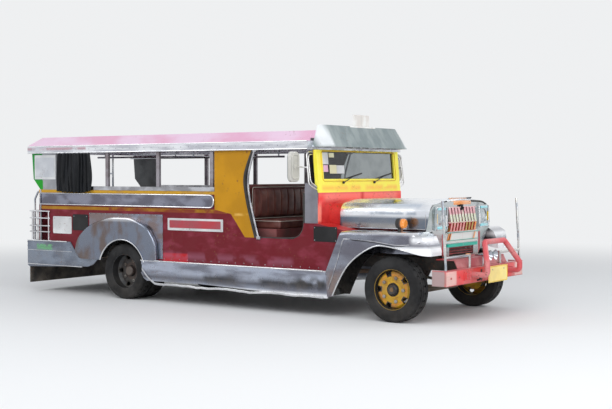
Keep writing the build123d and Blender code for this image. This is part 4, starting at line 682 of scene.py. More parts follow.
# a round bar along points, as a bevelled curve made a mesh
def addTube(points, radius, closed=False, sides=6, smooth=False):
    pick()
    curve = bpy.data.curves.new("bar", "CURVE")
    curve.dimensions = "3D"
    curve.bevel_depth = radius
    curve.bevel_resolution = max(1, sides // 2 - 1)
    curve.use_fill_caps = not closed
    line = curve.splines.new("NURBS" if smooth else "POLY")
    line.points.add(len(points) - 1)
    for spot, place in zip(line.points, points):
        spot.co = (*place, 1)
    line.use_cyclic_u = closed
    if smooth:
        line.order_u = 3
        line.use_endpoint_u = not closed
        curve.resolution_u = 6
    piece = bpy.data.objects.new("bar", curve)
    bpy.context.collection.objects.link(piece)
    pick(piece)
    bpy.ops.object.convert(target="MESH")
    return bpy.context.object


# straight bars across the vehicle, one at each height, and one bar along it
def addBars(x, y, heights, radius, sides=6):
    return [addTube([(x, -y, z), (x, y, z)], radius, sides=sides) for z in heights]


def addRail(rear, front, y, z, radius, sides=8):
    return addTube([(rear, y, z), (front, y, z)], radius, sides=sides)


# a thin strip that leans sideways about a height
def addLeanStrip(low, high, round, lean, middle):
    strip = addBlock(low, high, round, 1)
    for spot in strip.data.vertices:
        spot.co.y += (spot.co.z - middle) * lean
    return strip


# corner points of a rounded rectangle, in its own plane
def roundedLoop(low, high, corner, steps=5):
    middles = [(high[0] - corner, high[1] - corner), (low[0] + corner, high[1] - corner),
               (low[0] + corner, low[1] + corner), (high[0] - corner, low[1] + corner)]
    points = []
    for quarter, (a, b) in enumerate(middles):
        for step in range(steps + 1):
            angle = math.radians(90 * quarter + 90 * step / steps)
            points.append((a + corner * math.cos(angle), b + corner * math.sin(angle)))
    return points


# a round bar bent to such a rectangle, facing forward at x
def addFrame(x, low, high, corner, radius):
    return addTube([(x, a, b) for a, b in roundedLoop(low, high, corner)], radius, closed=True, sides=8)


def circle(middle, radius, count):
    turns = [math.tau * step / count for step in range(count)]
    return [(middle[0] + radius * math.cos(turn), middle[1] + radius * math.sin(turn)) for turn in turns]


print("hand tools ready")

# finishes of the pieces that are added here
finishLooks = {
    "tyreRubber": rubberLook,
    "brightTrim": dict(
        chrome, colour=(0.8, 0.81, 0.83), faded=(0.6, 0.61, 0.64), dust=0.2, rough=(0.12, 0.3)),
    "dullTrim": dict(bare, colour=(0.5, 0.5, 0.53)),
    "blackRubber": dict(
        colour=(0.012, 0.012, 0.013), faded=(0.03, 0.03, 0.03), rough=(0.5, 0.75), dust=0.2, dustTop=2.5,
        grain=(200.0, 0.15)),
    "whitePlate": dict(
        colour=(0.74, 0.75, 0.76), faded=(0.58, 0.59, 0.6), rough=(0.35, 0.55), dust=0.35, dustTop=1.4, rust=0.25),
    "greyPlate": dict(
        colour=(0.62, 0.64, 0.67), faded=(0.48, 0.5, 0.54), rough=(0.4, 0.6), rust=0.15),
    "blackPlate": dict(
        colour=(0.008, 0.008, 0.009), faded=(0.018, 0.018, 0.019), rough=(0.4, 0.6), gloss=0.3, rust=0.15),
    "redPlate": dict(
        colour=(0.46, 0.03, 0.045), faded=(0.36, 0.06, 0.08), rough=(0.35, 0.55), rust=0.2),
    "cyanPaint": dict(colour=(0.3, 0.72, 0.8), faded=(0.45, 0.72, 0.76), rough=(0.3, 0.5), coat=0.3),
    "yellowPaint": dict(colour=(0.86, 0.6, 0.02), faded=(0.7, 0.42, 0.02), rough=(0.3, 0.5), coat=0.3),
    "orangePaint": dict(
        colour=(0.86, 0.28, 0.04), faded=(0.84, 0.46, 0.26), rough=(0.35, 0.55), rust=0.2),
    "tealPaint": dict(
        colour=(0.012, 0.44, 0.33), faded=(0.02, 0.34, 0.26), rough=(0.3, 0.5), coat=0.3),
    "redPaint": dict(
        colour=(0.52, 0.035, 0.04), faded=(0.6, 0.12, 0.12), rough=(0.3, 0.5), coat=0.3, dust=0.3, dustTop=0.9),
    "lampGlass": dict(
        colour=(0.62, 0.68, 0.72), faded=(0.74, 0.78, 0.8), metal=0.75, rough=(0.05, 0.14), coat=1.0, coatRough=0.03,
        dent=(60.0, 0.3), bump=0.3),
    "gaugeFace": dict(colour=(0.02, 0.02, 0.02), faded=(0.04, 0.04, 0.04), rough=(0.3, 0.45)),
    "mirrorGlass": dict(
        colour=(0.75, 0.78, 0.8), faded=(0.68, 0.71, 0.74), metal=1.0, rough=(0.02, 0.07), grain=(10.0, 0.0),
        dent=(2.0, 0.05), bump=0.05),
    "padVinyl": dict(
        colour=(0.115, 0.03, 0.026), faded=(0.19, 0.066, 0.052), rough=(0.34, 0.55), coat=0.12,
        patch=dict(Scale=6.0, Low=0.42, High=0.7), dust=0.25, dustTop=1.3, dent=(9.0, 0.5), grain=(420.0, 0.12),
        bump=0.4, bumpDepth=0.008),
    "padPiping": dict(colour=(0.62, 0.6, 0.54), faded=(0.44, 0.41, 0.36), rough=(0.4, 0.6)),
    "curtainVinyl": dict(
        colour=(0.0045, 0.0055, 0.0075), faded=(0.01, 0.012, 0.016), rough=(0.36, 0.55), gloss=0.22,
        patch=dict(Scale=8.0, Stretch=(2.2, 1, 0.4), Low=0.42, High=0.7), dust=0.05, dustTop=0.5, dent=(14.0, 0.5),
        grain=(260.0, 0.06), bump=0.35, bumpDepth=0.006),
    "creamPinkEnamel": dict(
        colour=(0.84, 0.86, 0.76), faded=(0.74, 0.78, 0.6), rough=(0.3, 0.5), patch=dict(Scale=22.0),
        zones=[
            zone((2.9, 0, 1.205), (3.0, 0.5, 1.31), (0.8, 0.47, 0.5), 0.02, faded=(0.72, 0.34, 0.38))]),
    "pinkEnamel": dict(
        colour=(0.8, 0.36, 0.34), faded=(0.72, 0.24, 0.24), rough=(0.3, 0.5), patch=dict(Scale=22.0)),
    "oliveEnamel": dict(
        colour=(0.45, 0.36, 0.1), faded=(0.52, 0.28, 0.08), rough=(0.3, 0.5), patch=dict(Scale=22.0)),
    "bitterGreenEnamel": dict(colour=(0.3, 0.38, 0.06), faded=(0.24, 0.3, 0.08), rough=(0.3, 0.5)),
    "greyIron": dict(
        colour=(0.34, 0.33, 0.31), faded=(0.2, 0.16, 0.13), rough=(0.35, 0.6), metal=0.4, rust=0.5, rustScale=60.0,
        dust=0.3),
    "creamCard": dict(colour=(0.8, 0.79, 0.56), faded=(0.7, 0.66, 0.42), rough=(0.4, 0.6)),
    "pinkCard": dict(colour=(0.8, 0.48, 0.66), faded=(0.7, 0.38, 0.52), rough=(0.4, 0.6)),
    "mirrorShell": dict(colour=(0.62, 0.61, 0.56), faded=(0.45, 0.44, 0.4), rough=(0.3, 0.5)),
}
finishes = {name: finishFrom(name, look) for name, look in finishLooks.items()}

# tyres: a drum, ribbed and grooved, with rounded shoulders and full sidewalls, closed inside
tyre = {"radius": 0.375, "width": 0.215, "bead": 0.228, "ribs": (0.030, 0.074), "groove": 0.007, "depth": 0.009,
        "blocks": 112, "shoulder": 0.026, "insets": (0.045, 0.050), "ring": (0.26, 0.30)}


def reachOf(spot):
    return math.hypot(spot.x, spot.z)


# where a point of the plain drum goes: its reach from the axle and its distance from the middle
def tyreProfile(reach, side):
    radius, half = tyre["radius"], tyre["width"] / 2
    if side < half - 0.001:
        return None
    if reach > radius - 0.001:
        return radius - 0.010, half - 0.012
    if reach > radius - tyre["shoulder"] - 0.002:
        return reach, half - 0.001
    if reach > 0.29:
        return reach, half
    if reach < tyre["bead"] + 0.003:
        return reach, half - 0.016
    return None


def inGroove(at, way):
    side = abs(at.y)
    return reachOf(at) > tyre["radius"] - 0.004 and min(abs(side - rib) for rib in tyre["ribs"]) < grooveHalf


def inSlot(at, way):
    if reachOf(at) < tyre["radius"] - 0.012 or abs(way.y) > 0.8:
        return False
    turn = int(round(math.degrees(math.atan2(at.z, at.x)) % 360 / (360 / tyre["blocks"]) - 0.5))
    outer = abs(at.y) > tyre["ribs"][1] + grooveHalf
    middle = abs(at.y) < tyre["ribs"][0] - grooveHalf
    return (outer and turn % 4 == 0) or (middle and turn % 4 == 2)


grooveHalf = tyre["groove"] / 2 + 0.001


def modelTyre():
    pick()
    bpy.ops.mesh.primitive_cylinder_add(vertices=tyre["blocks"], radius=tyre["radius"], depth=tyre["width"],
                                        rotation=(math.radians(90), 0, 0))
    piece = applyPlace()
    pickFaces(piece, lambda at, way: abs(way.y) > 0.9)
    steps = (tyre["shoulder"], *tyre["insets"])
    for step in (*steps, tyre["radius"] - tyre["shoulder"] - sum(tyre["insets"]) - tyre["bead"]):
        bpy.ops.mesh.inset(thickness=step, depth=0)
    bpy.ops.mesh.delete(type="FACE")
    bpy.ops.mesh.select_mode(type="EDGE")
    bpy.ops.mesh.select_all(action="DESELECT")
    bpy.ops.mesh.select_non_manifold()
    bpy.ops.mesh.bridge_edge_loops()
    cuts = [rib + way * tyre["groove"] / 2 for rib in tyre["ribs"] for way in (-1, 1)]
    cutAcross(1, sorted(cuts + [-cut for cut in cuts]))
    pick()
    for spot in piece.data.vertices:
        reach = reachOf(spot.co)
        goal = tyreProfile(reach, abs(spot.co.y))
        if goal:
            spot.co.x *= goal[0] / reach
            spot.co.z *= goal[0] / reach
            spot.co.y = math.copysign(goal[1], spot.co.y)
    for test in (inGroove, inSlot):
        pickFaces(piece, test)
        bpy.ops.mesh.extrude_region_shrink_fatten(TRANSFORM_OT_shrink_fatten={"value": -tyre["depth"]})
    near, far = tyre["ring"]
    pickFaces(piece, lambda at, way: abs(way.y) > 0.85 and near < reachOf(at) < far)
    bpy.ops.mesh.inset(thickness=0.006, depth=0.002)
    pick()
    return piece


def fitTyres():
    first = modelTyre()
    half = tyre["width"] / 2
    for node, body in (("tyre_front_right", "front_right_wheel"), ("tyre_front_left", "front_left_wheel"),
                       ("tyres_rear_right", "rear_right_wheels"), ("tyres_rear_left", "rear_left_wheels")):
        end = node.split("_")[1]
        low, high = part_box(node)
        rows = [low[1] + half] if end == "front" else [low[1] + half, high[1] - half]
        copies = [copyOf(first, (axles[end], y, axles["height"])) for y in rows]
        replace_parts(settle(copies, node + "_tread", "tyreRubber", body, smooth=28), node)
    bpy.data.objects.remove(first)
    print("tyres fitted")


fitTyres()

# bright trim along the sides, as (x, z) on the right side's face
side = {
    "face": -1.0625, "band": (-3.262, -0.016, 1.262, 1.420), "bandRound": 0.066, "bar": 0.0095,
    "rubber": [(0.609, 1.98), (0.505, 1.759), (0.475, 1.608), (0.502, 1.45), (0.533, 1.308), (0.592, 1.11),
               (0.655, 0.906)],
    "foot": [(0.663, 0.905), (1.22, 0.905), (1.32, 0.947), (1.371, 1.03), (1.38, 1.10), (1.38, 1.46)],
    "pole": [(0.655, 1.99), (0.600, 1.84), (0.552, 1.66), (0.556, 1.50), (0.600, 1.28), (0.712, 0.915)],
    "rivets": [((-2.25, 1.145), (-0.905, 1.145), -1.0745, 14), ((-0.905, 1.10), (-0.905, 0.60), -1.0745, 6),
               ((-0.87, 0.575), (0.6, 0.575), -1.061, 12), ((0.8, 0.575), (1.6, 0.575), -1.061, 7)],
}


def arcOnSide(middle, radius, first, last, y, steps):
    turns = [math.radians(first + (last - first) * step / steps) for step in range(steps + 1)]
    return [(middle[0] + radius * math.cos(turn), y, middle[1] + radius * math.sin(turn)) for turn in turns]


# domed rivet heads in a row
def rivetRow(start, end, y, count, radius=0.0065):
    heads = []
    for step in range(count):
        spot = Vector((start[0], y, start[1])).lerp(Vector((end[0], y, end[1])), step / (count - 1))
        bpy.ops.mesh.primitive_uv_sphere_add(segments=8, ring_count=4, radius=radius, location=spot)
        bpy.context.object.scale = (1, 0.0035 / radius, 1)
        heads.append(applyPlace())
    return joinAll(heads)


# the half-round bar round the long side band, square behind and round in front
def bandRim():
    rear, front, low, high = side["band"]
    corner, y = side["bandRound"], side["face"] - 0.012
    points = [(rear, y, low), *arcOnSide((front - corner, low + corner), corner, -90, 0, y, 6),
              *arcOnSide((front - corner, high - corner), corner, 0, 90, y, 6), (rear, y, high)]
    return addTube(points, side["bar"], closed=True, sides=8)


def trimSides():
    bothSides([bandRim()], "sideBandRim", "brightTrim")
    lips = [addRail(-3.50, 1.45, -1.087, z, radius) for z, radius in ((1.992, 0.009), (2.086, 0.007))]
    bothSides(lips, "gutterLips", "brightTrim")
    bothSides([rivetRow((-3.42, 2.04), (1.40, 2.04), -1.086, 38)], "gutterRivets", "dullTrim")
    arch = arcOnSide((axles["rear"], axles["height"]), 0.434, 19.5, 160.5, -1.128, 28)
    bothSides([addTube(arch, 0.010, sides=8)], "rearArchRim", "brightTrim")
    # thick rubber on the door's edge, the bent bar at its foot, and the grey pole in front of it
    rubber = addTube([(x, -1.050, z) for x, z in side["rubber"]], 0.027, sides=8, smooth=True)
    foot = addTube([(x, -1.05, z) for x, z in side["foot"]], 0.011, sides=8, smooth=True)
    bothSides([rubber, foot], "doorRubber", "blackRubber")
    pole = addTube([(x, -1.085, z) for x, z in side["pole"]], 0.0125, sides=10, smooth=True)
    ends = [addBlock((0.682, -1.09, 0.885), (0.742, -1.055, 0.925), 0.006),
            addBlock((0.625, -1.092, 1.965), (0.685, -1.055, 1.99), 0.006)]
    bothSides([pole, *ends], "doorGrabPole", "dullTrim")
    # corner iron up the wall's rear edge, the strip over the running board, rivets round the plate
    bothSides([addBlock((-3.272, -1.068, 0.74), (-3.245, -1.045, 1.47), 0.005)], "rearEdgeIron", "dullTrim")
    bothSides([addRail(-1.235, 1.700, -1.120, 0.545, 0.010)], "boardStrip", "brightTrim")
    bothSides([rivetRow(*row) for row in side["rivets"]], "plateRivets", "dullTrim")
    print("side trims fitted")


# the bent bright lip under the running board: a strip, its edge pushed about by knocks
def bendLip():
    lip = addBlock((-1.22, -1.126, 0.223), (1.71, -1.112, 0.253), 0)
    bpy.ops.object.mode_set(mode="EDIT")
    cutAcross(0, [-1.15 + 0.055 * step for step in range(52)])
    pick()

    def knock(x, pace, row, size):
        return noise.noise(Vector((x * pace, row, 0.0))) * size

    for spot in lip.data.vertices:
        x = spot.co.x
        spot.co.z += knock(x, 2.3, 0.4, 0.020) + knock(x, 9, 3.1, 0.008)
        spot.co.y += knock(x, 5, 9.2, 0.008)
        if x < -0.95:
            spot.co.z += 0.20 * ((-0.95 - x) / 0.27) ** 1.6
    useModifier(lip, "BEVEL", width=0.005, segments=2, limit_method="ANGLE", angle_limit=math.radians(40))
    bothSides([lip], "boardLip", "brightTrim")


trimSides()
bendLip()

# bare signs: name, finish, low and high corner, corner radius, rim's width, how far it stands out
signs = [
    ("rearWhitePlate", "whitePlate", (-3.000, 0.850), (-2.622, 1.092), 0.018, 0.008, 0),
    ("rearBlackPlate", "blackPlate", (-2.600, 0.905), (-2.290, 1.128), 0.020, 0, 0),
    ("bannerEdge", "whitePlate", (-0.805, 0.957), (0.132, 1.115), 0.008, 0, 0),
    ("bannerField", "redPlate", (-0.770, 0.990), (0.095, 1.088), 0.006, 0, 0.003),
    ("infoPlate", "blackPlate", (1.530, 0.888), (1.862, 1.068), 0.010, 0, 0),
    ("stickerEdge", "whitePlate", (-3.380, 1.615), (-2.945, 1.962), 0.008, 0, 0),
    ("stickerField", "greyPlate", (-3.355, 1.650), (-2.968, 1.925), 0.006, 0, 0.003),
]
signBolts = [((-2.97, 1.065), (-2.65, 1.065), 0.008), ((-2.57, 1.10), (-2.32, 1.10), 0.008),
             ((1.545, 1.052), (1.847, 1.052), 0.007), ((1.545, 0.904), (1.847, 0.904), 0.007)]


def hangSigns():
    for name, finish, (x0, z0), (x1, z1), corner, rim, lift in signs:
        face = side["face"] - lift
        plate = addBlock((x0, face - 0.0025, z0), (x1, face + 0.003, z1), 0)
        roundCorners(plate, 1, corner, 3)
        if rim:
            pickFaces(plate, lambda at, way: way.y < -0.9)
            bpy.ops.mesh.inset(thickness=rim, depth=0)
            bpy.ops.mesh.inset(thickness=0.003, depth=-0.0015)
        settle([plate], name, finish, smooth=30)
    bolts = [rivetRow(start, end, -1.0665, 2, radius) for start, end, radius in signBolts]
    settle(bolts, "signBolts", "dullTrim")
    print("signs hung, all bare")


hangSigns()

# windscreen: gasket, wipers, and cards behind the glass as (from y, to y, from height, to height, finish)
screen = {
    "foot": (1.533, 1.466), "rake": 5.0, "glass": (0.838, 0.160, 0.503), "gasket": 0.011, "wipers": (-0.42, 0.30),
    "cards": [(-0.812, -0.690, 0.345, 0.490, "whitePlate"), (-0.672, -0.560, 0.430, 0.486, "creamCard"),
              (-0.806, -0.705, 0.252, 0.335, "pinkCard"), (-0.672, -0.520, 0.232, 0.338, "creamCard"),
              (-0.518, -0.350, 0.232, 0.334, "whitePlate")],
}


# a point on the screen's face: up it by this much, and out from it
def onScreen(y, up, out=0.0):
    lean = math.radians(screen["rake"])
    return (screen["foot"][0] - up * math.sin(lean) + out * math.cos(lean), y,
            screen["foot"][1] + up * math.cos(lean) + out * math.sin(lean))


def screenLoop(low, high, corner, out, radius):
    points = [onScreen(a, b, out) for a, b in roundedLoop(low, high, corner)]
    return addTube(points, radius, closed=True, sides=8)


def modelWiper(y):
    blade = addBlock((-0.19, -0.006, -0.009), (0.19, 0.006, 0.009), 0.003)
    start, end = Vector(onScreen(y + 0.12, 0.172, -0.018)), Vector(onScreen(y + 0.46, 0.232, -0.018))
    blade.location = (start + end) / 2
    blade.rotation_euler = (end - start).to_track_quat("X", "Z").to_euler()
    applyPlace()
    pivot = addRod(onScreen(y, 0.120, -0.004), onScreen(y, 0.120, 0.022), 0.016, 14, 0.003)
    arm = [onScreen(y, 0.120, 0.018), onScreen(y + 0.10, 0.150, 0.010), onScreen(y + 0.30, 0.205, -0.012)]
    return [pivot, addTube(arm, 0.0045), blade]


def dressScreen():
    half, low, high = screen["glass"]
    gasket = screenLoop((-half, low), (half, high), 0.035, -0.028, screen["gasket"])
    settle([gasket], "screenGasket", "blackRubber")
    lip = screenLoop((-half - 0.022, low - 0.022), (half + 0.022, high + 0.004), 0.05, 0.003, 0.006)
    settle([lip], "screenInnerLip", "yellowPaint")
    settle([part for y in screen["wipers"] for part in modelWiper(y)], "screenWipers", "blackRubber")
    for count, (y0, y1, up0, up1, finish) in enumerate(screen["cards"]):
        card = addBlock((-0.001, y0, up0), (0.001, y1, up1), 0.0006, 1)
        for spot in card.data.vertices:  # leaned with the screen, with a slight curl
            curl = 0.001 * noise.noise(spot.co * 9)
            spot.co = Vector(onScreen(spot.co.y, spot.co.z, -0.014 + spot.co.x + curl))
        settle([card], "screenCard" + str(count + 1), finish)
    print("windscreen dressed")


dressScreen()


def dressMirrors():
    glass = addBlock((1.3155, -1.278, 1.622), (1.3215, -1.132, 1.930), 0)
    roundCorners(glass, 0, 0.05, 6)
    bothSides([glass], "mirrorGlasses", "mirrorGlass")
    bothSides([addFrame(1.3185, (-1.297, 1.603), (-1.113, 1.949), 0.06, 0.006)], "mirrorRims", "blackRubber")
    shell = addFrame(1.3635, (-1.270, 1.632), (-1.140, 1.920), 0.045, 0.006)
    boss = addRod((1.352, -1.205, 1.776), (1.368, -1.205, 1.776), 0.030, 20, 0.005)
    bothSides([shell, boss], "mirrorShellRibs", "mirrorShell")
    print("mirrors dressed")


dressMirrors()


# hood: a folded seam down each side, the centre hinge, catches, and the front lip's bead
def dressHood():
    seam = addTube([(2.862, -0.7315, 1.050), (2.862, -0.7315, 1.20), (2.862, -0.722, 1.248)], 0.0035)
    edge = addRail(1.700, 2.860, -0.7315, 1.052, 0.006, 6)
    bothSides([seam, edge], "hoodSeams", "dullTrim", "engine_hood")
    settle([addRail(1.72, 2.60, -0.004, 1.352, 0.0045, 6)], "hoodCentreHinge", "dullTrim", "engine_hood")
    catches = []
    for x in (1.95, 2.62):
        catches += [addBlock((x - 0.018, -0.742, 1.062), (x + 0.018, -0.731, 1.105), 0.003),
                    addRod((x - 0.022, -0.746, 1.098), (x + 0.022, -0.746, 1.098), 0.0055, 12),
                    addTube([(x, -0.748, 1.098), (x, -0.750, 1.075), (x, -0.740, 1.060)], 0.004)]
    bothSides(catches, "hoodCatches", "dullTrim", "engine_hood")
    bead = [(2.905, -0.30, 1.368), (2.915, -0.10, 1.376), (2.915, 0.10, 1.376), (2.905, 0.30, 1.368)]
    settle([addTube(bead, 0.008, sides=8)], "hoodFrontBead", "brightTrim", "engine_hood")
    print("hood dressed")


dressHood()

# headlamps: the lens is a shallow ribbed cap cut off a ball
lamp = {"x": 2.968, "y": -0.537, "z": 1.177, "radius": 0.095, "square": 0.128, "ball": 0.165}


def modelLens():
    cut = math.sqrt(lamp["ball"] ** 2 - lamp["radius"] ** 2)
    pick()
    bpy.ops.mesh.primitive_uv_sphere_add(segments=40, ring_count=24, radius=lamp["ball"],
                                         rotation=(0, math.radians(90), 0))
    lens = applyPlace()
    bpy.ops.object.mode_set(mode="EDIT")
    bpy.ops.mesh.select_all(action="SELECT")
    bpy.ops.mesh.bisect(plane_co=(cut, 0, 0), plane_no=(1, 0, 0), clear_inner=True, use_fill=True)
    pick()
    for spot in lens.data.vertices:
        if spot.co.x > cut + 0.002:
            spot.co.x += 0.0012 * math.cos(spot.co.y * 420)
    lens.data.transform(Matrix.Translation((lamp["x"] - 0.030 - cut, lamp["y"], lamp["z"])))
    return lens


def dressLamps():
    y, z, half = lamp["y"], lamp["z"], lamp["square"]
    bothSides([modelLens()], "lampLenses", "lampGlass", smooth=50)
    ring = [(lamp["x"] - 0.026, a, b) for a, b in circle((y, z), lamp["radius"] + 0.004, 40)]
    outer = addFrame(2.9705, (y - half, z - half), (y + half, z + half), 0.02, 0.006)
    bothSides([addTube(ring, 0.0085, closed=True, sides=10), outer], "lampRings", "brightTrim")
    bars = [addBlock((2.962, y - 0.095, z + half - 0.034), (2.9745, y + 0.085, z + half - 0.004), 0.004),
            addBlock((2.962, y - 0.105, z - half + 0.004), (2.9745, y + 0.090, z - half + 0.036), 0.004)]
    bothSides(bars, "lampStrips", "cyanPaint")
    mark = addBlock((2.962, y - half + 0.004, z - 0.06), (2.9735, y - half + 0.020, z + 0.055), 0.003)
    bothSides([mark], "lampMarks", "yellowPaint")
    post = addBlock((2.962, y + half - 0.036, z - 0.100), (2.9730, y + half - 0.010, z + 0.03), 0.003)
    bothSides([post], "lampPosts", "whitePlate")
    print("lamps dressed")


# the rail, the bare name strip with its slashes and lines, the cap, the hood's seal and latch
def dressGrille():
    settle(addBars(2.962, 0.405, [1.008], 0.006, 8), "grilleRails", "brightTrim")
    slashes = [addLeanStrip((2.9655, y - 0.013, 0.915), (2.9700, y + 0.013, 0.993), 0.001, 0.55, 0.954)
               for y in (-0.372, -0.330)]
    settle([copyOf(slashes[0], (0, 0.021, 0))], "nameStripBlack", "blackPlate")
    settle([*slashes, copyOf(slashes[0], (0, 0.66, 0))], "nameStripSlashes", "orangePaint")
    settle(addBars(2.9655, 0.40, (1.001, 0.910), 0.0035), "nameStripLines", "tealPaint")
    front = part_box("grille_shell")[1][0]
    cap = addBlock((front - 0.030, -0.205, 1.324), (front + 0.004, 0.240, 1.3705), 0.009, 3)
    settle([cap], "grilleCap", "orangePaint")
    seal = [(0.26, 1.364), (0.48, 1.362), (0.63, 1.332), (0.715, 1.255), (0.733, 1.09)]
    seal = addTube([(front - 0.004, y, z) for y, z in seal], 0.012, sides=8, smooth=True)
    settle([seal], "grilleSeal", "blackRubber")
    latch = addBlock((2.944, -0.055, 1.262), (2.975, -0.012, 1.330), 0.006)
    grip = addRod((2.972, -0.034, 1.300), (2.990, -0.034, 1.285), 0.009, 12, 0.002)
    settle([latch, grip], "hoodLatch", "blackPlate")
    print("grille dressed")


dressLamps()
dressGrille()


# the front plate's rim and bolts, the tow hook, the bumper's bolts and edges, and a reflector
def dressBumper():
    low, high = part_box("number_plate")
    rim = addFrame(high[0] - 0.001, (low[1] + 0.008, low[2] + 0.008), (high[1] - 0.008, high[2] - 0.008), 0.022, 0.005)
    settle([rim], "plateRim", "yellowPaint")
    bolts = [addBolt((high[0] + 0.0015, y, 0.58), 0.009, 0.005) for y in (-0.15, 0.15)]
    settle(bolts, "plateBolts", "dullTrim")
    hook = [(3.285, -0.300, 0.545), (3.318, -0.296, 0.548), (3.330, -0.280, 0.500), (3.320, -0.262, 0.465),
            (3.285, -0.258, 0.462)]
    settle([addTube(hook, 0.011, sides=8, smooth=True)], "towHook", "blackPlate")
    bolts = [useModifier(addBolt((3.284, y, 0.525), 0.013, 0.010), "BEVEL", width=0.002, segments=1)
             for y in (-0.90, -0.70, 0.70, 0.90)]
    settle(bolts, "bumperBolts", "redPaint")
    settle(addBars(3.281, 0.985, (0.440, 0.610), 0.004), "bumperEdges", "redPaint")
    settle([addBlock((3.168, -0.335, 0.722), (3.205, -0.270, 0.768), 0.006)], "shelfReflector", "orangePaint")
    print("bumper dressed")


dressBumper()

# pads: low corner, high corner, the way each faces, the way its channels follow each other, their pitch
pads = {
    "benchSeatRight": ((-3.199, -1.006, 1.0905), (-0.910, -0.632, 1.163), (0, 0, 1), 0, 0.190),
    "benchBackRight": ((-3.199, -1.0185, 1.212), (-0.910, -0.977, 1.448), (0, 1, 0), 0, 0.190),
    "cabSeat": ((0.487, -0.878, 1.0105), (0.898, 0.878, 1.118), (0, 0, 1), 1, 0.146),
    "cabBack": ((0.3915, -0.878, 1.125), (0.473, 0.878, 1.528), (1, 0, 0), 1, 0.146),
}
swelling = {"quality": 6, "mass": 0.3, "tension_stiffness": 22, "compression_stiffness": 22, "bending_stiffness": 1.2,
            "use_pressure": True, "uniform_pressure_force": 4.0}


# pressure from inside rounds the pad; no point moves further than the cap or behind the pad's flat back
def swellPad(piece, cap, axis, low, high):
    start = [vertex.co.copy() for vertex in piece.data.vertices]
    cloth = piece.modifiers.new("swell", "CLOTH")
    for label, value in swelling.items():
        setattr(cloth.settings, label, value)
    cloth.settings.effector_weights.gravity = 0.0
    cloth.point_cache.frame_start, cloth.point_cache.frame_end = 1, 20
    for count in range(1, 21):
        bpy.context.scene.frame_set(count)
    pick(piece)
    bpy.ops.object.modifier_apply(modifier="swell")
    bpy.context.scene.frame_set(1)
    for vertex, old in zip(piece.data.vertices, start):
        move = vertex.co - old
        if move.length > cap:
            move *= cap / move.length
        vertex.co = old + move
        for way in range(3):
            below, above = (0.0, cap) if way == axis else (cap * 0.55, cap * 0.55)
            vertex.co[way] = min(max(vertex.co[way], low[way] - below), high[way] + above)


# pulls the face in along each sewn channel, and crowns it across
def sewPad(piece, axis, along, across, pitch, low, high, depth=0.012):
    size = [b - a for a, b in zip(low, high)]
    count = max(2, round(size[along] / pitch))
    step = size[along] / count
    for vertex in piece.data.vertices:
        spot = vertex.co
        if (spot[axis] - low[axis]) / size[axis] < 0.5:
            continue
        nearest = round((spot[along] - low[along]) / step)
        gap = abs(spot[along] - low[along] - nearest * step)
        ends = 1.0 if 0 < nearest < count else 0.35
        middle = (spot[across] - low[across]) / size[across]
        crown = 4 * middle * (1 - middle)
        spot[axis] += 0.006 * crown - depth * ends * (0.45 + 0.55 * crown) * math.exp(-(gap / 0.011) ** 2)


def modelPad(name, low, high, way, along, pitch):
    axis = way.index(1)
    across = 3 - axis - along
    start = [value + 0.010 * (count != axis) for count, value in enumerate(low)]
    piece = addBlock(start, [value - 0.010 for value in high], round=0.016, steps=3)
    useModifier(piece, "REMESH", mode="VOXEL", voxel_size=0.0145, use_smooth_shade=True)
    swellPad(piece, 0.011, axis, low, high)
    useModifier(piece, "SUBSURF", levels=1, render_levels=1)
    sewPad(piece, axis, along, across, pitch, low, high)
    settle([piece], name, "padVinyl", smooth=0)
    bpy.ops.object.shade_smooth()
    loop = []  # the piping runs round the sewn edge of the face
    for first, second in roundedLoop((low[along] + 0.004, low[across] + 0.004),
                                     (high[along] - 0.004, high[across] - 0.004), 0.03):
        spot = [high[axis] - 0.014] * 3
        spot[along], spot[across] = first, second
        loop.append(spot)
    edge = settle([addTube(loop, 0.0042, closed=True)], name + "Piping", "padPiping")
    return piece, edge


def fitPads():
    pieces, edges = [], []
    for name, sizes in pads.items():
        piece, edge = modelPad(name, *sizes)
        pieces.append(piece)
        edges.append(edge)
        if name.startswith("bench"):
            other = name.replace("Right", "Left")
            pieces.append(settle([copyOf(piece, mirror=True)], other, "padVinyl", smooth=0))
            edges.append(settle([copyOf(edge, mirror=True)], other + "Piping", "padPiping", smooth=0))
    for piece in pieces + edges:
        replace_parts(piece, "seat_pads")
    print("pads fitted:", len(pieces), "with piping")


fitPads()

# the rain curtain: x range and height as gathered, and the size it is cut to
curtain = {"x": (-2.900, -2.200), "top": 1.981, "foot": 1.434, "y": -1.094, "cut": (1.04, 0.54), "folds": 9}


# a point of the gathered cloth, from its share of the width and of the drop
def curtainPoint(share, down):
    low, high = curtain["x"]
    gather = 0.93 + 0.07 * math.sin(math.pi * min(1.0, down * 1.15)) + 0.03 * down
    wander = 0.014 * math.sin(4.1 * share + 5.0 * down) + 0.008 * math.sin(11.0 * share + 3.0 * down)
    x = (low + high) / 2 + (2 * share - 1) * (high - low) / 2 * gather + wander * down
    turn = math.tau * curtain["folds"] * (share + 0.022 * math.sin(math.tau * share * 2.3 + 1.0))
    fold = math.sin(turn + 1.1 * math.sin(2.6 * down + 7.0 * share) * down)
    fold *= 0.84 + 0.16 * math.sin(9.0 * share + 0.7)
    sway = 0.22 * math.sin(2.3 * turn + 4.0 * down) * down
    hem = 0.030 * abs(2 * share - 1) ** 4 + 0.007 * math.sin(turn + 0.6)
    return (x, curtain["y"] + 0.0235 * (fold * (1.0 - 0.16 * down) + sway),
            curtain["top"] + (curtain["foot"] - curtain["top"] + hem) * down)


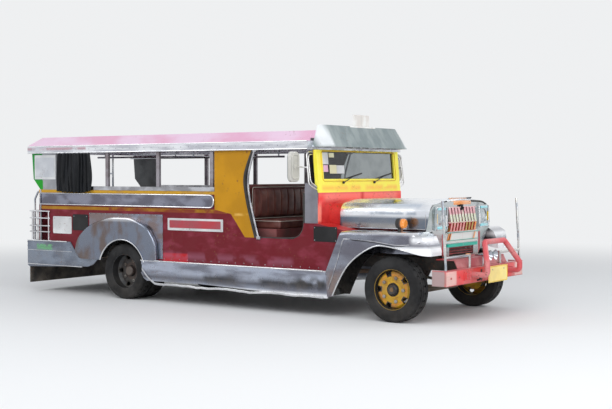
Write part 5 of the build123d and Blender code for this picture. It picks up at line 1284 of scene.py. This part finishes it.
# one long sheet drawn together on its rail: a grid shaped point by point, and made thick
def hangCurtain():
    pick()
    bpy.ops.mesh.primitive_grid_add(x_subdivisions=230, y_subdivisions=34, size=1)
    sheet = bpy.context.object
    for vertex in sheet.data.vertices:
        share, down = vertex.co.x + 0.5, 0.5 - vertex.co.y
        vertex.co = curtainPoint(min(max(share, 0.0), 1.0), min(max(down, 0.0), 1.0))
    useModifier(sheet, "SOLIDIFY", thickness=0.0016, offset=0.0)
    settle([sheet], "rainCurtain", "curtainVinyl", smooth=0)
    bpy.ops.object.shade_smooth()
    low, high = curtain["x"]
    rail = settle([addRail(low + 0.02, high - 0.02, curtain["y"], 1.982, 0.0028)], "curtainRail", "dullTrim")
    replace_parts(sheet, "rain_curtain")
    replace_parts(rail, "rain_curtain")
    print("curtain hung")


hangCurtain()

# front wings, as (x, z) on the right one: its bead, its crease, and the border behind it
wing = {
    "side": -1.122, "cornerStart": 2.872, "corner": 0.20,
    "arch": [(3.066, 0.770), (3.000, 0.776), (2.787, 0.835), (2.596, 0.869), (2.440, 0.880), (2.262, 0.800),
             (2.061, 0.655), (1.920, 0.440), (1.838, 0.262)],
    "crease": [(2.10, 0.938), (2.378, 0.925), (2.640, 0.888), (2.775, 0.884), (2.935, 0.906), (2.990, 0.930)],
    "border": [(2.090, 0.935), (1.995, 0.934), (1.975, 0.900), (1.902, 0.663), (1.778, 0.334)],
}


# points on the wing's outer face, which turns inward at its rounded front corner
def onWing(line, out, drop=0.0):
    points, corner = [], wing["corner"]
    for x, z in wing[line]:
        run = max(0.0, x - wing["cornerStart"])
        turned = corner - math.sqrt(max(0.0, corner ** 2 - run ** 2))
        points.append((x + out * run / corner, wing["side"] - out + turned, z - drop))
    return points


def dressWings():
    bothSides([addTube(onWing("arch", 0.001), 0.0085, sides=8, smooth=True)], "wingArchBeads", "brightTrim")
    crease = addTube(onWing("crease", -0.001), 0.006, smooth=True)
    bothSides([crease, addTube(onWing("border", -0.001), 0.007)], "wingCreases", "dullTrim")
    bothSides([addTube(onWing("crease", -0.003, 0.012), 0.0045, smooth=True)], "wingCreaseShade", "blackPlate")
    cup = addRod((2.558, -0.850, 1.121), (2.612, -0.850, 1.121), 0.060, 28, 0.010)
    foot = addRod((2.588, -0.850, 1.026), (2.588, -0.850, 1.078), 0.021, 16, 0.004)
    bothSides([cup, foot], "sideLampCups", "blackRubber")
    print("wings dressed")


dressWings()

# rear quarters: beads as (rear x, front x, height, radius), cage posts, and the tail lamps' rims
quarter = {"face": -1.0765, "posts": (-3.440, -3.325), "lamp": (-0.82, 0.960),
           "beads": [(-3.524, -2.70, 0.736, 0.0095), (-3.524, -2.60, 0.598, 0.0045), (-3.524, -2.40, 0.395, 0.006)]}


def dressQuarters():
    beads = [addRail(rear, front, quarter["face"], z, radius) for rear, front, z, radius in quarter["beads"]]
    bothSides(beads, "quarterBeads", "brightTrim")
    posts = [addBlock((x - 0.022, -1.058, 0.742), (x + 0.022, -1.052, 1.150), 0.002) for x in quarter["posts"]]
    bothSides(posts, "cagePosts", "whitePlate")
    rim = [(-3.332, a, b) for a, b in circle(quarter["lamp"], 0.050, 24)]
    bothSides([addTube(rim, 0.005, closed=True, sides=8)], "tailLampRims", "brightTrim")
    print("quarter panels dressed")


dressQuarters()

# enamel facings on the grille's bars, leaning one way above the rail and the other way below it
facing = {"pitch": 0.07625, "half": 0.0235, "front": 2.9625, "high": (1.117, 1.298, -0.376, 1.2075),
          "low": (1.016, 1.114, 0.333, 1.065), "line": (1.117, 1.205, -0.376, 1.2075)}


def faceBars(row, shift, half, lift=0.0):
    low, high, lean, middle = facing[row]
    front = facing["front"] + lift
    places = [(count - 4) * facing["pitch"] + shift for count in range(9)]
    return [addLeanStrip((front - 0.004, y - half, low), (front, y + half, high), 0.0012, lean, middle)
            for y in places]


def faceGrille():
    settle(faceBars("high", 0.0, facing["half"]), "grilleFacingsHigh", "creamPinkEnamel")
    lows = faceBars("low", 0.017, facing["half"] * 0.72)
    settle(lows[:5], "grilleFacingsPink", "pinkEnamel")
    settle(lows[5:8], "grilleFacingsOlive", "oliveEnamel")
    settle(lows[8:], "grilleFacingsRed", "orangePaint")
    settle(faceBars("line", 0.006, 0.0035, 0.0006), "grilleFacingLines", "bitterGreenEnamel")
    settle(addBars(2.9335, 0.33, (0.752, 0.782, 0.812), 0.003), "slatLines", "redPaint")
    print("grille faced")


faceGrille()

# wheel nuts and hub rings: how far out the nuts begin and end, and where the ring lies
nuts = {"radius": 0.0205, "circle": 0.138, "front": (1.046, 1.069, 1.052), "rear": (0.929, 0.950, 0.929)}


# one piece on each side's wheel
def onWheels(parts, end, name, finish):
    piece = joinAll(parts)
    other = copyOf(piece, mirror=True)
    wheel = "_wheel" if end == "front" else "_wheels"
    settle([piece], end + "Right" + name, finish, end + "_right" + wheel)
    settle([other], end + "Left" + name, finish, end + "_left" + wheel)


def dressWheels():
    for end in ("front", "rear"):
        inner, outer, face = nuts[end]
        axle = (axles[end], axles["height"])
        caps = [addRod((x, -inner, z), (x, -outer, z), nuts["radius"], 14, 0.006)
                for x, z in circle(axle, nuts["circle"], 5)]
        onWheels(caps, end, "NutCaps", "greyIron")
        ring = [(x, -face, z) for x, z in circle(axle, 0.070, 32)]
        onWheels([addTube(ring, 0.0075, closed=True, sides=8)], end, "HubRing", "blackPlate")
    print("wheels dressed")


dressWheels()

# the driver's controls, from the floor's top
controls = {"lever": (0.93, 0.085), "pedals": (0.345, 0.465, 0.585), "pedalX": 1.300}


def dressCab():
    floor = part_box("floor")[1][2]
    x, y = controls["lever"]
    boot = addTube([(x, y, floor + up) for up in (-0.002, 0.035, 0.070)], 0.034, sides=14)
    stick = [(x, y, floor + 0.03), (x + 0.02, y, floor + 0.22), (x - 0.03, y + 0.02, floor + 0.44)]
    settle([boot, addTube(stick, 0.008, sides=10, smooth=True)], "gearLever", "blackRubber")
    knob = addRod((x - 0.028, y + 0.019, floor + 0.425), (x - 0.037, y + 0.022, floor + 0.475), 0.022, 20, 0.012)
    settle([knob], "gearKnob", "orangePaint")
    pedals, x = [], controls["pedalX"]
    for y in controls["pedals"]:
        arm = [(x, y, floor + 0.19), (x + 0.05, y, floor + 0.12), (x + 0.07, y, floor - 0.002)]
        pedals += [addBlock((x - 0.012, y - 0.036, floor + 0.145), (x + 0.002, y + 0.036, floor + 0.235), 0.006),
                   addTube(arm, 0.008, sides=8, smooth=True)]
    settle(pedals, "footPedals", "blackRubber")
    print("driver's controls made")


dressCab()

bpy.ops.object.select_all(action="DESELECT")
